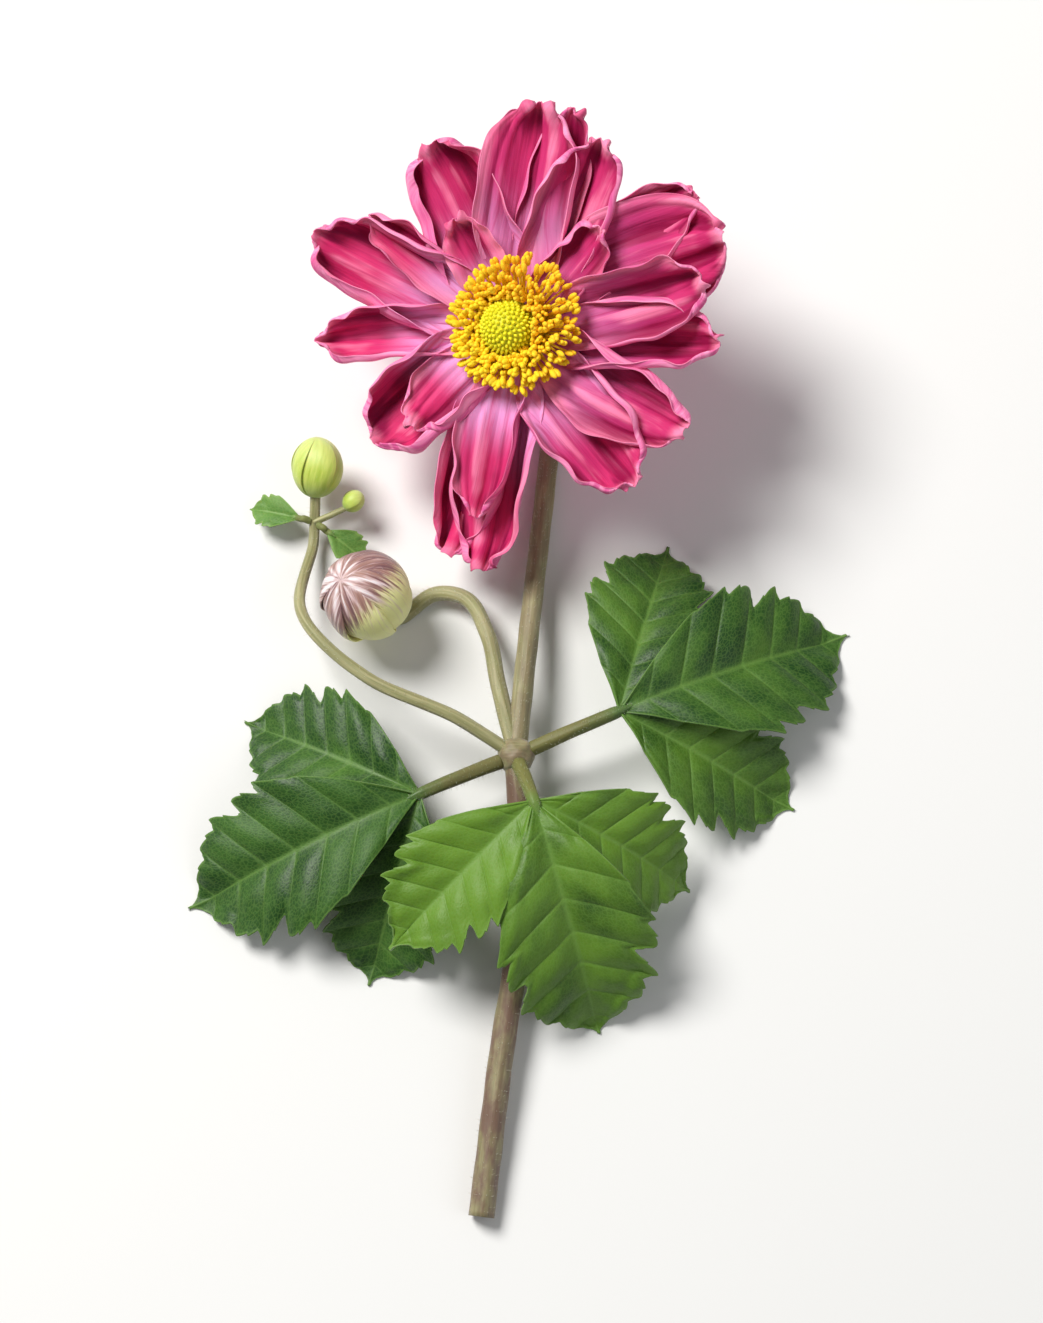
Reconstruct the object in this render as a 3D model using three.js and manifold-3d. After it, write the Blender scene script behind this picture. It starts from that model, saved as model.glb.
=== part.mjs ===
// A picked Japanese anemone flower, lying on a surface: the open, half-double bloom on its
// hooked stalk, with the whorl of three lobed leaves and the two side buds that share its stem.
// Millimetres. +Z is up, +Y runs from the cut end to the bloom, and the bloom faces up.

import * as THREE from "three";
import { mergeVertices } from "three/addons/utils/BufferGeometryUtils.js";
import Module from "manifold-3d";

const wasm = await Module();
wasm.setup();

// Driving dimensions
const WHORL = new THREE.Vector3(0, 0, 7); // where leaves and side stalks leave the stem
const BLOOM = new THREE.Vector3(0, 56, 17); // top of the receptacle
const FACING = new THREE.Vector3(-0.28, -0.25, 0.93).normalize(); // the way the bloom looks
const BOX_CENTRE = [0.77, 11.57]; // middle of the whole part's outline, x and y, from the whorl
const GAP = 0.3; // between touching pieces
const FINENESS = 0.01; // smaller details than this are left out of a fused piece
const NEAR = 1e-3; // points of a fused piece as near each other as this are one

const PETAL_THICKNESS = 0.7;
const PETAL_ROOT = 2.6; // how far from the axis a petal starts, inside the base disc
const TIP_CURL = 34; // degrees that the last of a petal turns up
const BASE_DISC = { radius: 4.6, bottom: -0.7, top: 0.7 };
const STAMEN_RING = { inner: 4.15, outer: 5.3, bottom: 1.65, top: 3 };
const CARPELS = { radius: 3.75, centre: 3.6, count: 60, relief: 0.3 };
const CARPEL_FOOT = 1.4; // height of the underside of the carpels
const LEAF_THICKNESS = 0.7;
const NODE_RADIUS = 2.5; // the swelling of the stem at the whorl

const UP = new THREE.Vector3(0, 0, 1);
const point = (x, y, z) => new THREE.Vector3(x, y, z);
const { degToRad, lerp, smoothstep, clamp } = THREE.MathUtils;

// Materials
const finish = (color, roughness) => new THREE.MeshStandardMaterial({ color, roughness, metalness: 0 });
const PETAL_PINK = finish(0xd2407f, 0.55);
const ANTHER_YELLOW = finish(0xf2b90d, 0.8);
const CARPEL_GREEN = finish(0xc3c617, 0.7);
const STEM_GREEN = finish(0x8a8f5a, 0.6);
const LEAF_GREEN = finish(0x3f6b35, 0.5);
const BUD_PURPLE = finish(0x8a6270, 0.7);
const BUD_GREEN = finish(0xb4c94e, 0.6);

// A repeatable draw from 0 to 1 for item i, stream k.
function scatter(i, k) {
  const x = Math.sin(i * 12.9898 + k * 78.233) * 43758.5453;
  return x - Math.floor(x);
}

// A height that is lifted smoothly to floor wherever it would sink below it.
function rested(z, floor, softness = 0.8) {
  if (z >= floor + softness) return z;
  if (z <= floor - softness) return floor;
  return floor + (z - floor + softness) ** 2 / (4 * softness);
}

// Solids

function solidOf(geometry, tolerance = 1e-4) {
  const bare = new THREE.BufferGeometry().setAttribute("position", geometry.getAttribute("position"));
  if (geometry.index) bare.setIndex(geometry.index);
  const merged = mergeVertices(bare, tolerance);
  return new wasm.Manifold(
    new wasm.Mesh({
      numProp: 3,
      vertProperties: merged.getAttribute("position").array,
      triVerts: new Uint32Array(merged.index.array),
    }),
  );
}

function geometryOf(solid) {
  const { vertProperties, triVerts } = solid.getMesh();
  const geometry = new THREE.BufferGeometry();
  geometry.setAttribute("position", new THREE.BufferAttribute(new Float32Array(vertProperties), 3));
  geometry.setIndex(new THREE.BufferAttribute(new Uint32Array(triVerts), 1));
  return geometry;
}

const largest = (solid) => solid.decompose().reduce((a, b) => (b.volume() > a.volume() ? b : a));

// One body of all the geometries, with sealed hollows filled and loose scraps dropped.
function fused(name, geometries, material) {
  const whole = geometries.map((geometry) => solidOf(geometry)).reduce((a, b) => a.add(b));
  const plain = largest(whole).asOriginal().simplify(FINENESS);
  const body = largest(solidOf(geometryOf(plain), NEAR)).simplify(FINENESS);
  const mesh = new THREE.Mesh(geometryOf(body), material);
  mesh.name = name;
  return mesh;
}

// A blade of even thickness round the surface pointAt(u, v), u along it and v across it.
// Both faces are split into the same triangles.
function blade(us, vs, pointAt, thickness) {
  const rows = us.length;
  const columns = vs.length;
  const grid = us.map((u) => vs.map((v) => pointAt(u, v)));
  const positions = [];
  for (const side of [1, -1])
    for (let i = 0; i < rows; i++)
      for (let j = 0; j < columns; j++) {
        const along = grid[Math.min(i + 1, rows - 1)][j].clone().sub(grid[Math.max(i - 1, 0)][j]);
        const across = grid[i][Math.min(j + 1, columns - 1)].clone().sub(grid[i][Math.max(j - 1, 0)]);
        const normal = along.cross(across).normalize();
        const p = grid[i][j].clone().addScaledVector(normal, (side * thickness) / 2);
        positions.push(p.x, p.y, p.z);
      }
  const at = (side, i, j) => (side * rows + i) * columns + j;
  const index = [];
  for (let i = 0; i + 1 < rows; i++)
    for (let j = 0; j + 1 < columns; j++) {
      index.push(at(0, i, j), at(0, i + 1, j), at(0, i + 1, j + 1));
      index.push(at(0, i, j), at(0, i + 1, j + 1), at(0, i, j + 1));
      index.push(at(1, i, j), at(1, i + 1, j + 1), at(1, i + 1, j));
      index.push(at(1, i, j), at(1, i, j + 1), at(1, i + 1, j + 1));
    }
  const wall = (a, b) => {
    index.push(at(0, ...a), at(0, ...b), at(1, ...b));
    index.push(at(0, ...a), at(1, ...b), at(1, ...a));
  };
  for (let i = 0; i + 1 < rows; i++) {
    wall([i + 1, 0], [i, 0]);
    wall([i, columns - 1], [i + 1, columns - 1]);
  }
  for (let j = 0; j + 1 < columns; j++) {
    wall([0, j], [0, j + 1]);
    wall([rows - 1, j + 1], [rows - 1, j]);
  }
  const geometry = new THREE.BufferGeometry();
  geometry.setAttribute("position", new THREE.Float32BufferAttribute(positions, 3));
  geometry.setIndex(index);
  return geometry;
}

const evenly = (n, from, to) => Array.from({ length: n + 1 }, (_, i) => lerp(from, to, i / n));

// A round stalk along a smooth curve through points, with a radius at each end, flat where it
// rests on the surface.
function stalk(points, startRadius, endRadius, sides, steps) {
  const curve = new THREE.CatmullRomCurve3(points, false, "centripetal");
  const frames = curve.computeFrenetFrames(steps, false);
  const positions = [];
  for (let i = 0; i <= steps; i++) {
    const centre = curve.getPointAt(i / steps);
    const radius = lerp(startRadius, endRadius, i / steps);
    for (let j = 0; j < sides; j++) {
      const angle = (2 * Math.PI * j) / sides;
      const p = centre
        .clone()
        .addScaledVector(frames.normals[i], radius * Math.cos(angle))
        .addScaledVector(frames.binormals[i], radius * Math.sin(angle));
      positions.push(p.x, p.y, Math.max(0, p.z));
    }
  }
  const index = [];
  for (let i = 0; i < steps; i++)
    for (let j = 0; j < sides; j++) {
      const a = i * sides + j;
      const b = i * sides + ((j + 1) % sides);
      index.push(a, b, b + sides, a, b + sides, a + sides);
    }
  const last = steps * sides;
  for (let j = 1; j + 1 < sides; j++) {
    index.push(0, j + 1, j);
    index.push(last, last + j, last + j + 1);
  }
  const geometry = new THREE.BufferGeometry();
  geometry.setAttribute("position", new THREE.Float32BufferAttribute(positions, 3));
  geometry.setIndex(index);
  return geometry;
}

// A round solid about the bloom's axis, from [radius, height] pairs that run up the outside.
function turned(profile, segments) {
  const points = profile.map(([radius, height]) => new THREE.Vector2(radius, height));
  return new THREE.LatheGeometry(points, segments).rotateX(Math.PI / 2);
}

// Petals

// Each petal: turn, the direction of its root seen from the front, counterclockwise from the
// right, in degrees; reach, from the axis to the tip; width, spread flat; blunt, how square the
// tip is; rise and tip, the slope past the root and at the tip, in degrees; level, the height of
// its root; bank, the tilt of its section, with the left edge up, in degrees; cup, roll and fold,
// how much the section hollows, turns up at the edges and pleats; pleats, how many; sweep, how
// far it curves to the left, in degrees.
const PETALS = [
  // lower layer
  { turn: 70, reach: 31, width: 11, blunt: 2.6, rise: 2, tip: 6, level: -0.3,
    bank: 0, cup: 0.52, roll: 0.6, fold: 0.43, pleats: 2, sweep: 0 },
  { turn: 56, reach: 28.5, width: 14, blunt: 3.4, rise: 6, tip: 10, level: -0.1,
    bank: 6, cup: 0.65, roll: 1.35, fold: 0.43, pleats: 2, sweep: 4 },
  { turn: 36, reach: 31.5, width: 13, blunt: 2.6, rise: 4, tip: 2, level: -0.3,
    bank: 0, cup: 0.52, roll: 0.75, fold: 0.43, pleats: 2, sweep: -5 },
  { turn: -12, reach: 30, width: 15, blunt: 3, rise: 4, tip: 6, level: -0.3,
    bank: -12, cup: 1.04, roll: 1.35, fold: 0.36, pleats: 2, sweep: 5 },
  { turn: -56, reach: 28.5, width: 18, blunt: 3.4, rise: 4, tip: 8, level: -0.2,
    bank: -4, cup: 0.91, roll: 1.35, fold: 0.43, pleats: 2, sweep: 4 },
  { turn: -96, reach: 33, width: 17, blunt: 2.4, rise: 6, tip: -6, level: -0.2,
    bank: 6, cup: 0.65, roll: 0.9, fold: 0.72, pleats: 2, sweep: -4 },
  { turn: -111, reach: 32, width: 14, blunt: 2.4, rise: 3, tip: -4, level: -0.3,
    bank: -4, cup: 0.65, roll: 0.9, fold: 0.72, pleats: 2, sweep: 2 },
  { turn: -149, reach: 25, width: 18, blunt: 3.6, rise: 4, tip: 8, level: -0.2,
    bank: 0, cup: 0.91, roll: 1.5, fold: 0.29, pleats: 2, sweep: 5 },
  { turn: 177, reach: 27.5, width: 12, blunt: 3, rise: 7, tip: 8, level: 0,
    bank: 4, cup: 1.17, roll: 1.2, fold: 0.29, pleats: 2, sweep: 4 },
  { turn: 153, reach: 30.5, width: 18, blunt: 3.4, rise: 8, tip: 8, level: 0,
    bank: -6, cup: 0.78, roll: 1.5, fold: 0.58, pleats: 2.5, sweep: -2 },
  { turn: 109, reach: 27.5, width: 20, blunt: 3.6, rise: 6, tip: 8, level: -0.1,
    bank: 6, cup: 0.39, roll: 1.2, fold: 0.87, pleats: 2, sweep: 2 },
  // upper layer
  { turn: 81, reach: 30.5, width: 17, blunt: 3.2, rise: 11, tip: 0, level: 0.2,
    bank: 0, cup: 0.39, roll: 1.2, fold: 0.72, pleats: 2, sweep: -3 },
  { turn: 27, reach: 32, width: 19, blunt: 3, rise: 11, tip: -4, level: 0.2,
    bank: 6, cup: -0.26, roll: 0.9, fold: 0.58, pleats: 3, sweep: -10 },
  { turn: 5, reach: 28.5, width: 14, blunt: 3.4, rise: 13, tip: 4, level: 0.3,
    bank: 4, cup: 0.52, roll: 1.2, fold: 0.58, pleats: 2, sweep: 5 },
  { turn: -33, reach: 29, width: 16, blunt: 2, rise: 13, tip: 2, level: 0.2,
    bank: 4, cup: 0.52, roll: 1.05, fold: 0.72, pleats: 1.5, sweep: 2 },
  { turn: -102, reach: 26, width: 12, blunt: 2.2, rise: 14, tip: -2, level: 0.3,
    bank: 0, cup: 0.91, roll: 0.6, fold: 0.43, pleats: 1.5, sweep: 0 },
  { turn: -140, reach: 19, width: 12, blunt: 3, rise: 14, tip: 14, level: 0.3,
    bank: 6, cup: 0.52, roll: 0.75, fold: 0.58, pleats: 1.5, sweep: 5 },
  { turn: 139, reach: 25, width: 9, blunt: 2.6, rise: 13, tip: 6, level: 0.3,
    bank: 0, cup: 0.91, roll: 0.6, fold: 0.43, pleats: 1.5, sweep: 0 },
  { turn: 113, reach: 17, width: 9, blunt: 3, rise: 11, tip: 18, level: 0.3,
    bank: 0, cup: 0.5, roll: 0.5, fold: 0.58, pleats: 1.5, sweep: 0 },
  { turn: 42, reach: 19, width: 10, blunt: 3, rise: 12, tip: 18, level: 0.3,
    bank: 0, cup: 0.52, roll: 0.75, fold: 0.58, pleats: 1.5, sweep: 0 },
];

// The width of a petal along it, as a share: a narrow claw, widest past the middle, a round tip.
function petalOutline(petal, u) {
  const claw = lerp(0.4, 1, smoothstep(u, 0, 0.5));
  const towardsTip = clamp((u - 0.5) / 0.5, 0, 1);
  return claw * Math.sqrt(1 - 0.96 * towardsTip ** petal.blunt);
}

// The slope of a petal along its middle, in radians: flat under the stamens, then rising, and
// curling up at the tip.
function petalSlope(petal, s) {
  const curl = TIP_CURL * smoothstep(s, 0.72, 1);
  return degToRad(petal.rise * smoothstep(s, 0, 0.2) + (petal.tip - petal.rise) * s + curl);
}

// A point of a petal's middle surface, in the bloom's own frame.
function petalPoint(petal, u, v) {
  const steps = 12;
  const length = (petal.reach - PETAL_ROOT) / Math.cos(degToRad(petal.rise + petal.tip) / 2);
  const end = u * (1 - 0.025 * v * v * smoothstep(u, 0.5, 1));
  let out = PETAL_ROOT;
  let aside = 0;
  let height = petal.level;
  for (let i = 0; i < steps; i++) {
    const s = ((i + 0.5) / steps) * end;
    const slope = petalSlope(petal, s);
    const bend = degToRad(petal.sweep) * s * 2;
    out += (Math.cos(slope) * Math.cos(bend) * length * end) / steps;
    aside += (Math.cos(slope) * Math.sin(bend) * length * end) / steps;
    height += (Math.sin(slope) * length * end) / steps;
  }
  // The section across the petal: its slope grows towards the edges and waves in the pleats.
  const opened = smoothstep(u, 0.05, 0.5);
  let across = 0;
  let lift = 0;
  for (let i = 0; i < steps; i++) {
    const t = ((i + 0.5) / steps) * v;
    const hollow = petal.cup * t + petal.roll * t ** 3 * lerp(1, 0.6, smoothstep(u, 0.7, 1));
    const pleat = petal.fold * Math.sin(Math.PI * petal.pleats * t + petal.turn);
    const slope = lerp(0.15, 1, opened) * (hollow + pleat) + degToRad(petal.bank) * opened;
    across += (Math.cos(slope) * v) / steps;
    lift += (Math.sin(slope) * v) / steps;
  }
  const half = (petal.width / 2) * petalOutline(petal, u);
  const slope = petalSlope(petal, end);
  const bend = degToRad(petal.sweep) * end * 2;
  const side = point(-Math.sin(bend), Math.cos(bend), 0);
  const forward = point(Math.cos(bend), Math.sin(bend), Math.tan(slope)).normalize();
  const normal = forward.clone().cross(side);
  return point(out, aside, height)
    .addScaledVector(side, half * across)
    .addScaledVector(normal, half * lift)
    .applyAxisAngle(UP, degToRad(petal.turn));
}

function makePetals() {
  const us = [0, 0.22, 0.44, 0.64, 0.82, 0.94, 1];
  const vs = (petal) => evenly(petal.width > 12 ? 8 : 6, -1, 1);
  const disc = turned(
    [
      [0, BASE_DISC.bottom],
      [BASE_DISC.radius - 0.8, BASE_DISC.bottom],
      [BASE_DISC.radius, 0],
      [BASE_DISC.radius - 0.8, BASE_DISC.top],
      [0, BASE_DISC.top],
    ],
    20,
  );
  const blades = PETALS.map((petal) =>
    blade(us, vs(petal), (u, v) => petalPoint(petal, u, v), PETAL_THICKNESS),
  );
  return fused("petals", [disc, ...blades], PETAL_PINK);
}

// Stamens and carpels

// Rows of stamens, from the outer one in: how many, the slope in degrees, the length, and the
// distance of their feet from the axis. They are longest and lowest on the right.
const STAMEN_ROWS = [
  { count: 20, slope: 27, length: 4.4, foot: 5 },
  { count: 18, slope: 43, length: 4.2, foot: 4.9 },
  { count: 15, slope: 62, length: 3.7, foot: 4.75 },
  { count: 12, slope: 88, length: 2.9, foot: 4.75 },
];
const LONGEST_AT = 20; // degrees
const ANTHER = { length: 2, radius: 0.75, flatness: 0.75 };

function makeStamens() {
  const { inner, outer, bottom, top } = STAMEN_RING;
  const ring = turned(
    [
      [inner, bottom + 0.3],
      [outer - 0.4, bottom],
      [outer, top - 0.5],
      [outer - 0.5, top],
      [inner, top],
      [inner, bottom + 0.3],
    ],
    24,
  );
  const pieces = [ring];
  STAMEN_ROWS.forEach(({ count, slope, length, foot }, row) => {
    for (let i = 0; i < count; i++) {
      const turn = ((i + 0.5 * (row % 2) + 0.5 * scatter(i, row)) / count) * 2 * Math.PI;
      const side = Math.cos(turn - degToRad(LONGEST_AT));
      const tilt = degToRad(slope + 6 * (1 - side) + 12 * (scatter(i, row + 5) - 0.5));
      const long = length * (0.95 + 0.25 * side) * (0.9 + 0.2 * scatter(i, row + 9));
      const stamen = turned(
        [
          [0, 0],
          [0.3, 0],
          [0.22, long - ANTHER.length / 2],
          [ANTHER.radius, long],
          [0, long + ANTHER.length / 2],
        ],
        4,
      );
      stamen.scale(ANTHER.flatness, 1, 1).rotateY(Math.PI / 2 - tilt);
      pieces.push(stamen.translate(foot, 0, top - 0.5).rotateZ(turn));
    }
  });
  return fused("stamens", pieces, ANTHER_YELLOW);
}

// A dome of small carpels, packed in a spiral and raised from its surface.
function makeCarpels() {
  const { radius, centre, count, relief } = CARPELS;
  const golden = Math.PI * (3 - Math.sqrt(5));
  const tops = Array.from({ length: count }, (_, i) => {
    const z = 1 - (1.5 * (i + 0.5)) / count;
    const r = Math.sqrt(1 - z * z);
    return new THREE.Vector3(r * Math.cos(golden * i), r * Math.sin(golden * i), z);
  });
  const spacing = Math.sqrt((2 * Math.PI * 1.5) / count) * 0.55;
  const geometry = new THREE.SphereGeometry(1, 26, 16).rotateX(Math.PI / 2);
  const position = geometry.getAttribute("position");
  for (let i = 0; i < position.count; i++) {
    const p = new THREE.Vector3().fromBufferAttribute(position, i);
    const nearest = Math.min(...tops.map((top) => top.distanceTo(p)));
    p.multiplyScalar(radius - relief + relief * Math.max(0, 1 - (nearest / spacing) ** 2));
    position.setXYZ(i, p.x, p.y, Math.max(p.z + centre, CARPEL_FOOT));
  }
  return fused("carpel_head", [geometry], CARPEL_GREEN);
}

// Stem, with its swelling, receptacle and side stalks

const RECEPTACLE_DEPTH = 2.6;
const belowBloom = (distance) => BLOOM.clone().addScaledVector(FACING, -distance);

const MAIN_STEM = [point(-4.5, -60, 1.6), point(-2, -40, 3.2), point(0.9, -19, 5.4), WHORL];
const BLOOM_STALK = [
  WHORL,
  point(1.4, 14, 5.6),
  point(3, 29, 2.8),
  point(4.4, 42, 1.25),
  point(5.2, 52, 1.3),
  point(4.6, 58.2, 4.6),
  belowBloom(7.2),
  belowBloom(2),
];

const STRIPED_BUD = {
  centre: point(-20, 21.5, 8.4),
  axis: point(-0.5, 0.12, 0.86).normalize(),
  radius: 6.2,
  length: 12.4,
};
const GREEN_BUD = {
  centre: point(-27, 40, 6.6),
  axis: point(0.05, 0.9, 0.42).normalize(),
  radius: 3.5,
  length: 8.2,
};
const TINY_BUD = {
  centre: point(-22, 35.6, 5.4),
  axis: point(0.72, 0.6, 0.3).normalize(),
  radius: 1.5,
  length: 3.2,
};
const underBud = (bud, distance) =>
  bud.centre.clone().addScaledVector(bud.axis, -bud.length / 2 - distance);

const STRIPED_STALK = [
  WHORL,
  point(-2.2, 9, 6.4),
  point(-3.8, 17, 4.8),
  point(-6.6, 22.4, 3.2),
  point(-11, 23.6, 1.7),
  underBud(STRIPED_BUD, 2.4),
  underBud(STRIPED_BUD, GAP),
];
const GREEN_STALK = [
  WHORL,
  point(-8, 4.6, 9.6),
  point(-20, 10, 10.4),
  point(-28.5, 19, 8.6),
  underBud(GREEN_BUD, 6),
  underBud(GREEN_BUD, GAP),
];
const BRACT_NODE = underBud(GREEN_BUD, 3.4);
const TINY_STALK = [
  BRACT_NODE,
  BRACT_NODE.clone().lerp(underBud(TINY_BUD, 0), 0.5),
  underBud(TINY_BUD, GAP),
];

function makeStem() {
  const swelling = new THREE.SphereGeometry(NODE_RADIUS, 12, 8).translate(...WHORL.toArray());
  const receptacle = turned(
    [
      [0, -RECEPTACLE_DEPTH - 1],
      [1.5, -RECEPTACLE_DEPTH],
      [3.1, BASE_DISC.bottom - GAP - 0.5],
      [3.1, BASE_DISC.bottom - GAP],
      [0, BASE_DISC.bottom - GAP],
    ],
    16,
  )
    .applyQuaternion(new THREE.Quaternion().setFromUnitVectors(UP, FACING))
    .translate(...BLOOM.toArray());
  return fused(
    "stem",
    [
      stalk(MAIN_STEM, 1.7, 1.5, 9, 8),
      stalk(BLOOM_STALK, 1.4, 1.3, 9, 22),
      stalk(STRIPED_STALK, 1.1, 1.0, 7, 13),
      stalk(GREEN_STALK, 0.9, 0.7, 6, 12),
      stalk(TINY_STALK, 0.45, 0.4, 6, 3),
      swelling,
      receptacle,
    ],
    STEM_GREEN,
  );
}

// Buds

// A globe of overlapping tepals: each one's edge steps out over the next one's.
function makeBud(name, bud, tepals, step, segments, material) {
  const geometry = new THREE.SphereGeometry(1, segments, segments / 2).rotateX(Math.PI / 2);
  const position = geometry.getAttribute("position");
  for (let i = 0; i < position.count; i++) {
    const p = new THREE.Vector3().fromBufferAttribute(position, i);
    const turn = Math.atan2(p.y, p.x) / (2 * Math.PI) + 1 - 0.08 * p.z;
    const share = (turn * tepals) % 1;
    const level = step * share * Math.sqrt(1 - p.z * p.z);
    const waist = Math.hypot(p.x, p.y);
    const radius = bud.radius - step + level;
    position.setXYZ(i, p.x * radius, p.y * radius, (p.z * bud.length) / 2 - 0.5 * waist * step);
  }
  geometry.applyQuaternion(new THREE.Quaternion().setFromUnitVectors(UP, bud.axis));
  geometry.translate(...bud.centre.toArray());
  for (let i = 0; i < position.count; i++) position.setZ(i, Math.max(0, position.getZ(i)));
  return fused(name, [geometry], material);
}

// Leaves

// Each leaf: turn, its direction from the whorl, in degrees; stalk, the length of its stalk;
// rise, the slope of the stalk; lobes, each with its turn from the leaf's middle, length, width,
// slope at root and tip, and height above the stalk's end.
const LEAVES = [
  {
    name: "leaf_left",
    turn: 204,
    stalk: 11,
    rise: 8,
    lobes: [
      { turn: 0, length: 38, width: 23, rise: 4, tip: -44, level: 0.5 },
      { turn: 50, length: 29, width: 19, rise: -4, tip: -46, level: 0 },
      { turn: -50, length: 30, width: 19, rise: -6, tip: -38, level: 0 },
    ],
  },
  {
    name: "leaf_right",
    turn: 22,
    stalk: 12,
    rise: 8,
    lobes: [
      { turn: 0, length: 38, width: 23, rise: 2, tip: -43, level: 0.5 },
      { turn: 52, length: 29, width: 19, rise: -6, tip: -36, level: 0 },
      { turn: -48, length: 30, width: 19, rise: -6, tip: -42, level: 0 },
    ],
  },
  {
    name: "leaf_front",
    turn: 287,
    stalk: 8.5,
    rise: 45,
    lobes: [
      { turn: 0, length: 38, width: 23, rise: 2, tip: -67, level: 0.5 },
      { turn: 48, length: 28, width: 18, rise: -6, tip: -56, level: 0 },
      { turn: -62, length: 28, width: 18, rise: 0, tip: -24, level: 0 },
    ],
  },
];
const TEETH = 8; // on each side of a lobe

// The half width of a lobe along it, as a share: wedge-shaped root, widest near the middle,
// pointed tip, and a deeper notch above the lower teeth.
function lobeOutline(u) {
  const oval = (u ** 1.15 * (1 - u) ** 1.5) / 0.163;
  const notch = 1 - 0.18 * Math.exp(-(((u - 0.52) / 0.045) ** 2));
  return Math.max(0.05, oval * notch);
}

// A point of a lobe's middle surface. The rows slant forward from the rib, as the veins do, and
// end in teeth.
function lobePoint(root, heading, lobe, teeth, u, v) {
  const steps = 14;
  const k = Math.floor(u * teeth);
  const depth = (0.1 + 0.08 * scatter(k, lobe.length + Math.sign(v))) * smoothstep(u, 0.15, 0.4);
  const tooth = 1 - depth * (1 - ((u * teeth) % 1)) * smoothstep(Math.abs(v), 0.5, 1);
  const half = (lobe.width / 2) * lobeOutline(u) * tooth * Math.abs(v);
  const slant = 0.6 * (1 - smoothstep(u, 0.85, 1));
  const end = u * 0.97 + (slant * half) / lobe.length;
  const rise = degToRad(lobe.rise);
  const tip = degToRad(lobe.tip);
  const turn = degToRad(heading + lobe.turn);
  let out = 0;
  let height = lobe.level * smoothstep(u, 0, 0.15);
  for (let i = 0; i < steps; i++) {
    const slope = rise + (tip - rise) * ((i + 0.5) / steps) * end;
    out += (Math.cos(slope) * lobe.length * end) / steps;
    height += (Math.sin(slope) * lobe.length * end) / steps;
  }
  const trough = half * 0.32 - 0.018 * half * half;
  const p = point(out * Math.cos(turn), out * Math.sin(turn), height + trough).add(root);
  p.x += -Math.sin(turn) * half * Math.sign(v) * 0.97;
  p.y += Math.cos(turn) * half * Math.sign(v) * 0.97;
  p.z = rested(p.z, LEAF_THICKNESS / 2 - 0.04);
  return p;
}

function lobeRows(teeth) {
  const rows = [0];
  for (let k = 0; k < teeth; k++) rows.push((k + 0.12) / teeth, (k + 0.96) / teeth);
  rows[rows.length - 1] = 1;
  return rows;
}

// A leaf of several lobes on its stalk, which starts just clear of the stem's swelling.
function makeLeaf(leaf, origin, clear, stalkRadius, teeth) {
  const turn = degToRad(leaf.turn);
  const rise = degToRad(leaf.rise);
  const away = (distance, lift) =>
    point(Math.cos(turn) * Math.cos(rise), Math.sin(turn) * Math.cos(rise), Math.sin(rise))
      .multiplyScalar(distance)
      .add(point(0, 0, lift))
      .add(origin);
  const root = away(clear + leaf.stalk, 0);
  const blades = leaf.lobes.map((lobe) => {
    const shape = blade(
      lobeRows(teeth),
      [-1, -0.5, 0, 0.5, 1],
      (u, v) => lobePoint(root, leaf.turn, lobe, teeth, u, v),
      LEAF_THICKNESS,
    );
    const position = shape.getAttribute("position");
    for (let i = 0; i < position.count; i++) position.setZ(i, Math.max(0, position.getZ(i)));
    return shape;
  });
  const middle = away(clear + leaf.stalk / 2, 0.4);
  const end = away(clear + leaf.stalk + 1.2, 0);
  const stalkShape = stalk([away(clear, 0), middle, end], stalkRadius, stalkRadius * 0.8, 8, 6);
  return fused(leaf.name, [stalkShape, ...blades], LEAF_GREEN);
}

// Small bracts under the green bud: one lobe each, on the bud's stalk.
const BRACTS = [
  {
    name: "small_bract_outer",
    turn: 165,
    stalk: 0.6,
    rise: 0,
    lobes: [{ turn: 0, length: 8, width: 5.4, rise: 0, tip: -30, level: 0 }],
  },
  {
    name: "small_bract_inner",
    turn: -36,
    stalk: 0.7,
    rise: 0,
    lobes: [{ turn: 0, length: 7.2, width: 5.4, rise: -3, tip: -26, level: 0 }],
  },
];

// The whole flower

const head = new THREE.Group();
head.add(makePetals(), makeStamens(), makeCarpels());
head.quaternion.setFromUnitVectors(UP, FACING);
head.position.copy(BLOOM);

const flower = new THREE.Group();
flower.add(head, makeStem());
flower.add(makeBud("bud_striped", STRIPED_BUD, 6, 0.6, 24, BUD_PURPLE));
flower.add(makeBud("bud_green", GREEN_BUD, 5, 0.35, 20, BUD_GREEN));
flower.add(makeBud("bud_tiny", TINY_BUD, 3, 0.15, 12, BUD_GREEN));
for (const leaf of LEAVES) flower.add(makeLeaf(leaf, WHORL, NODE_RADIUS + 0.35, 1.0, TEETH));
for (const bract of BRACTS) flower.add(makeLeaf(bract, BRACT_NODE, 1.25, 0.5, 3));
flower.position.set(-BOX_CENTRE[0], -BOX_CENTRE[1], 0);

export default flower;
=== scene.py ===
import math

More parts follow.
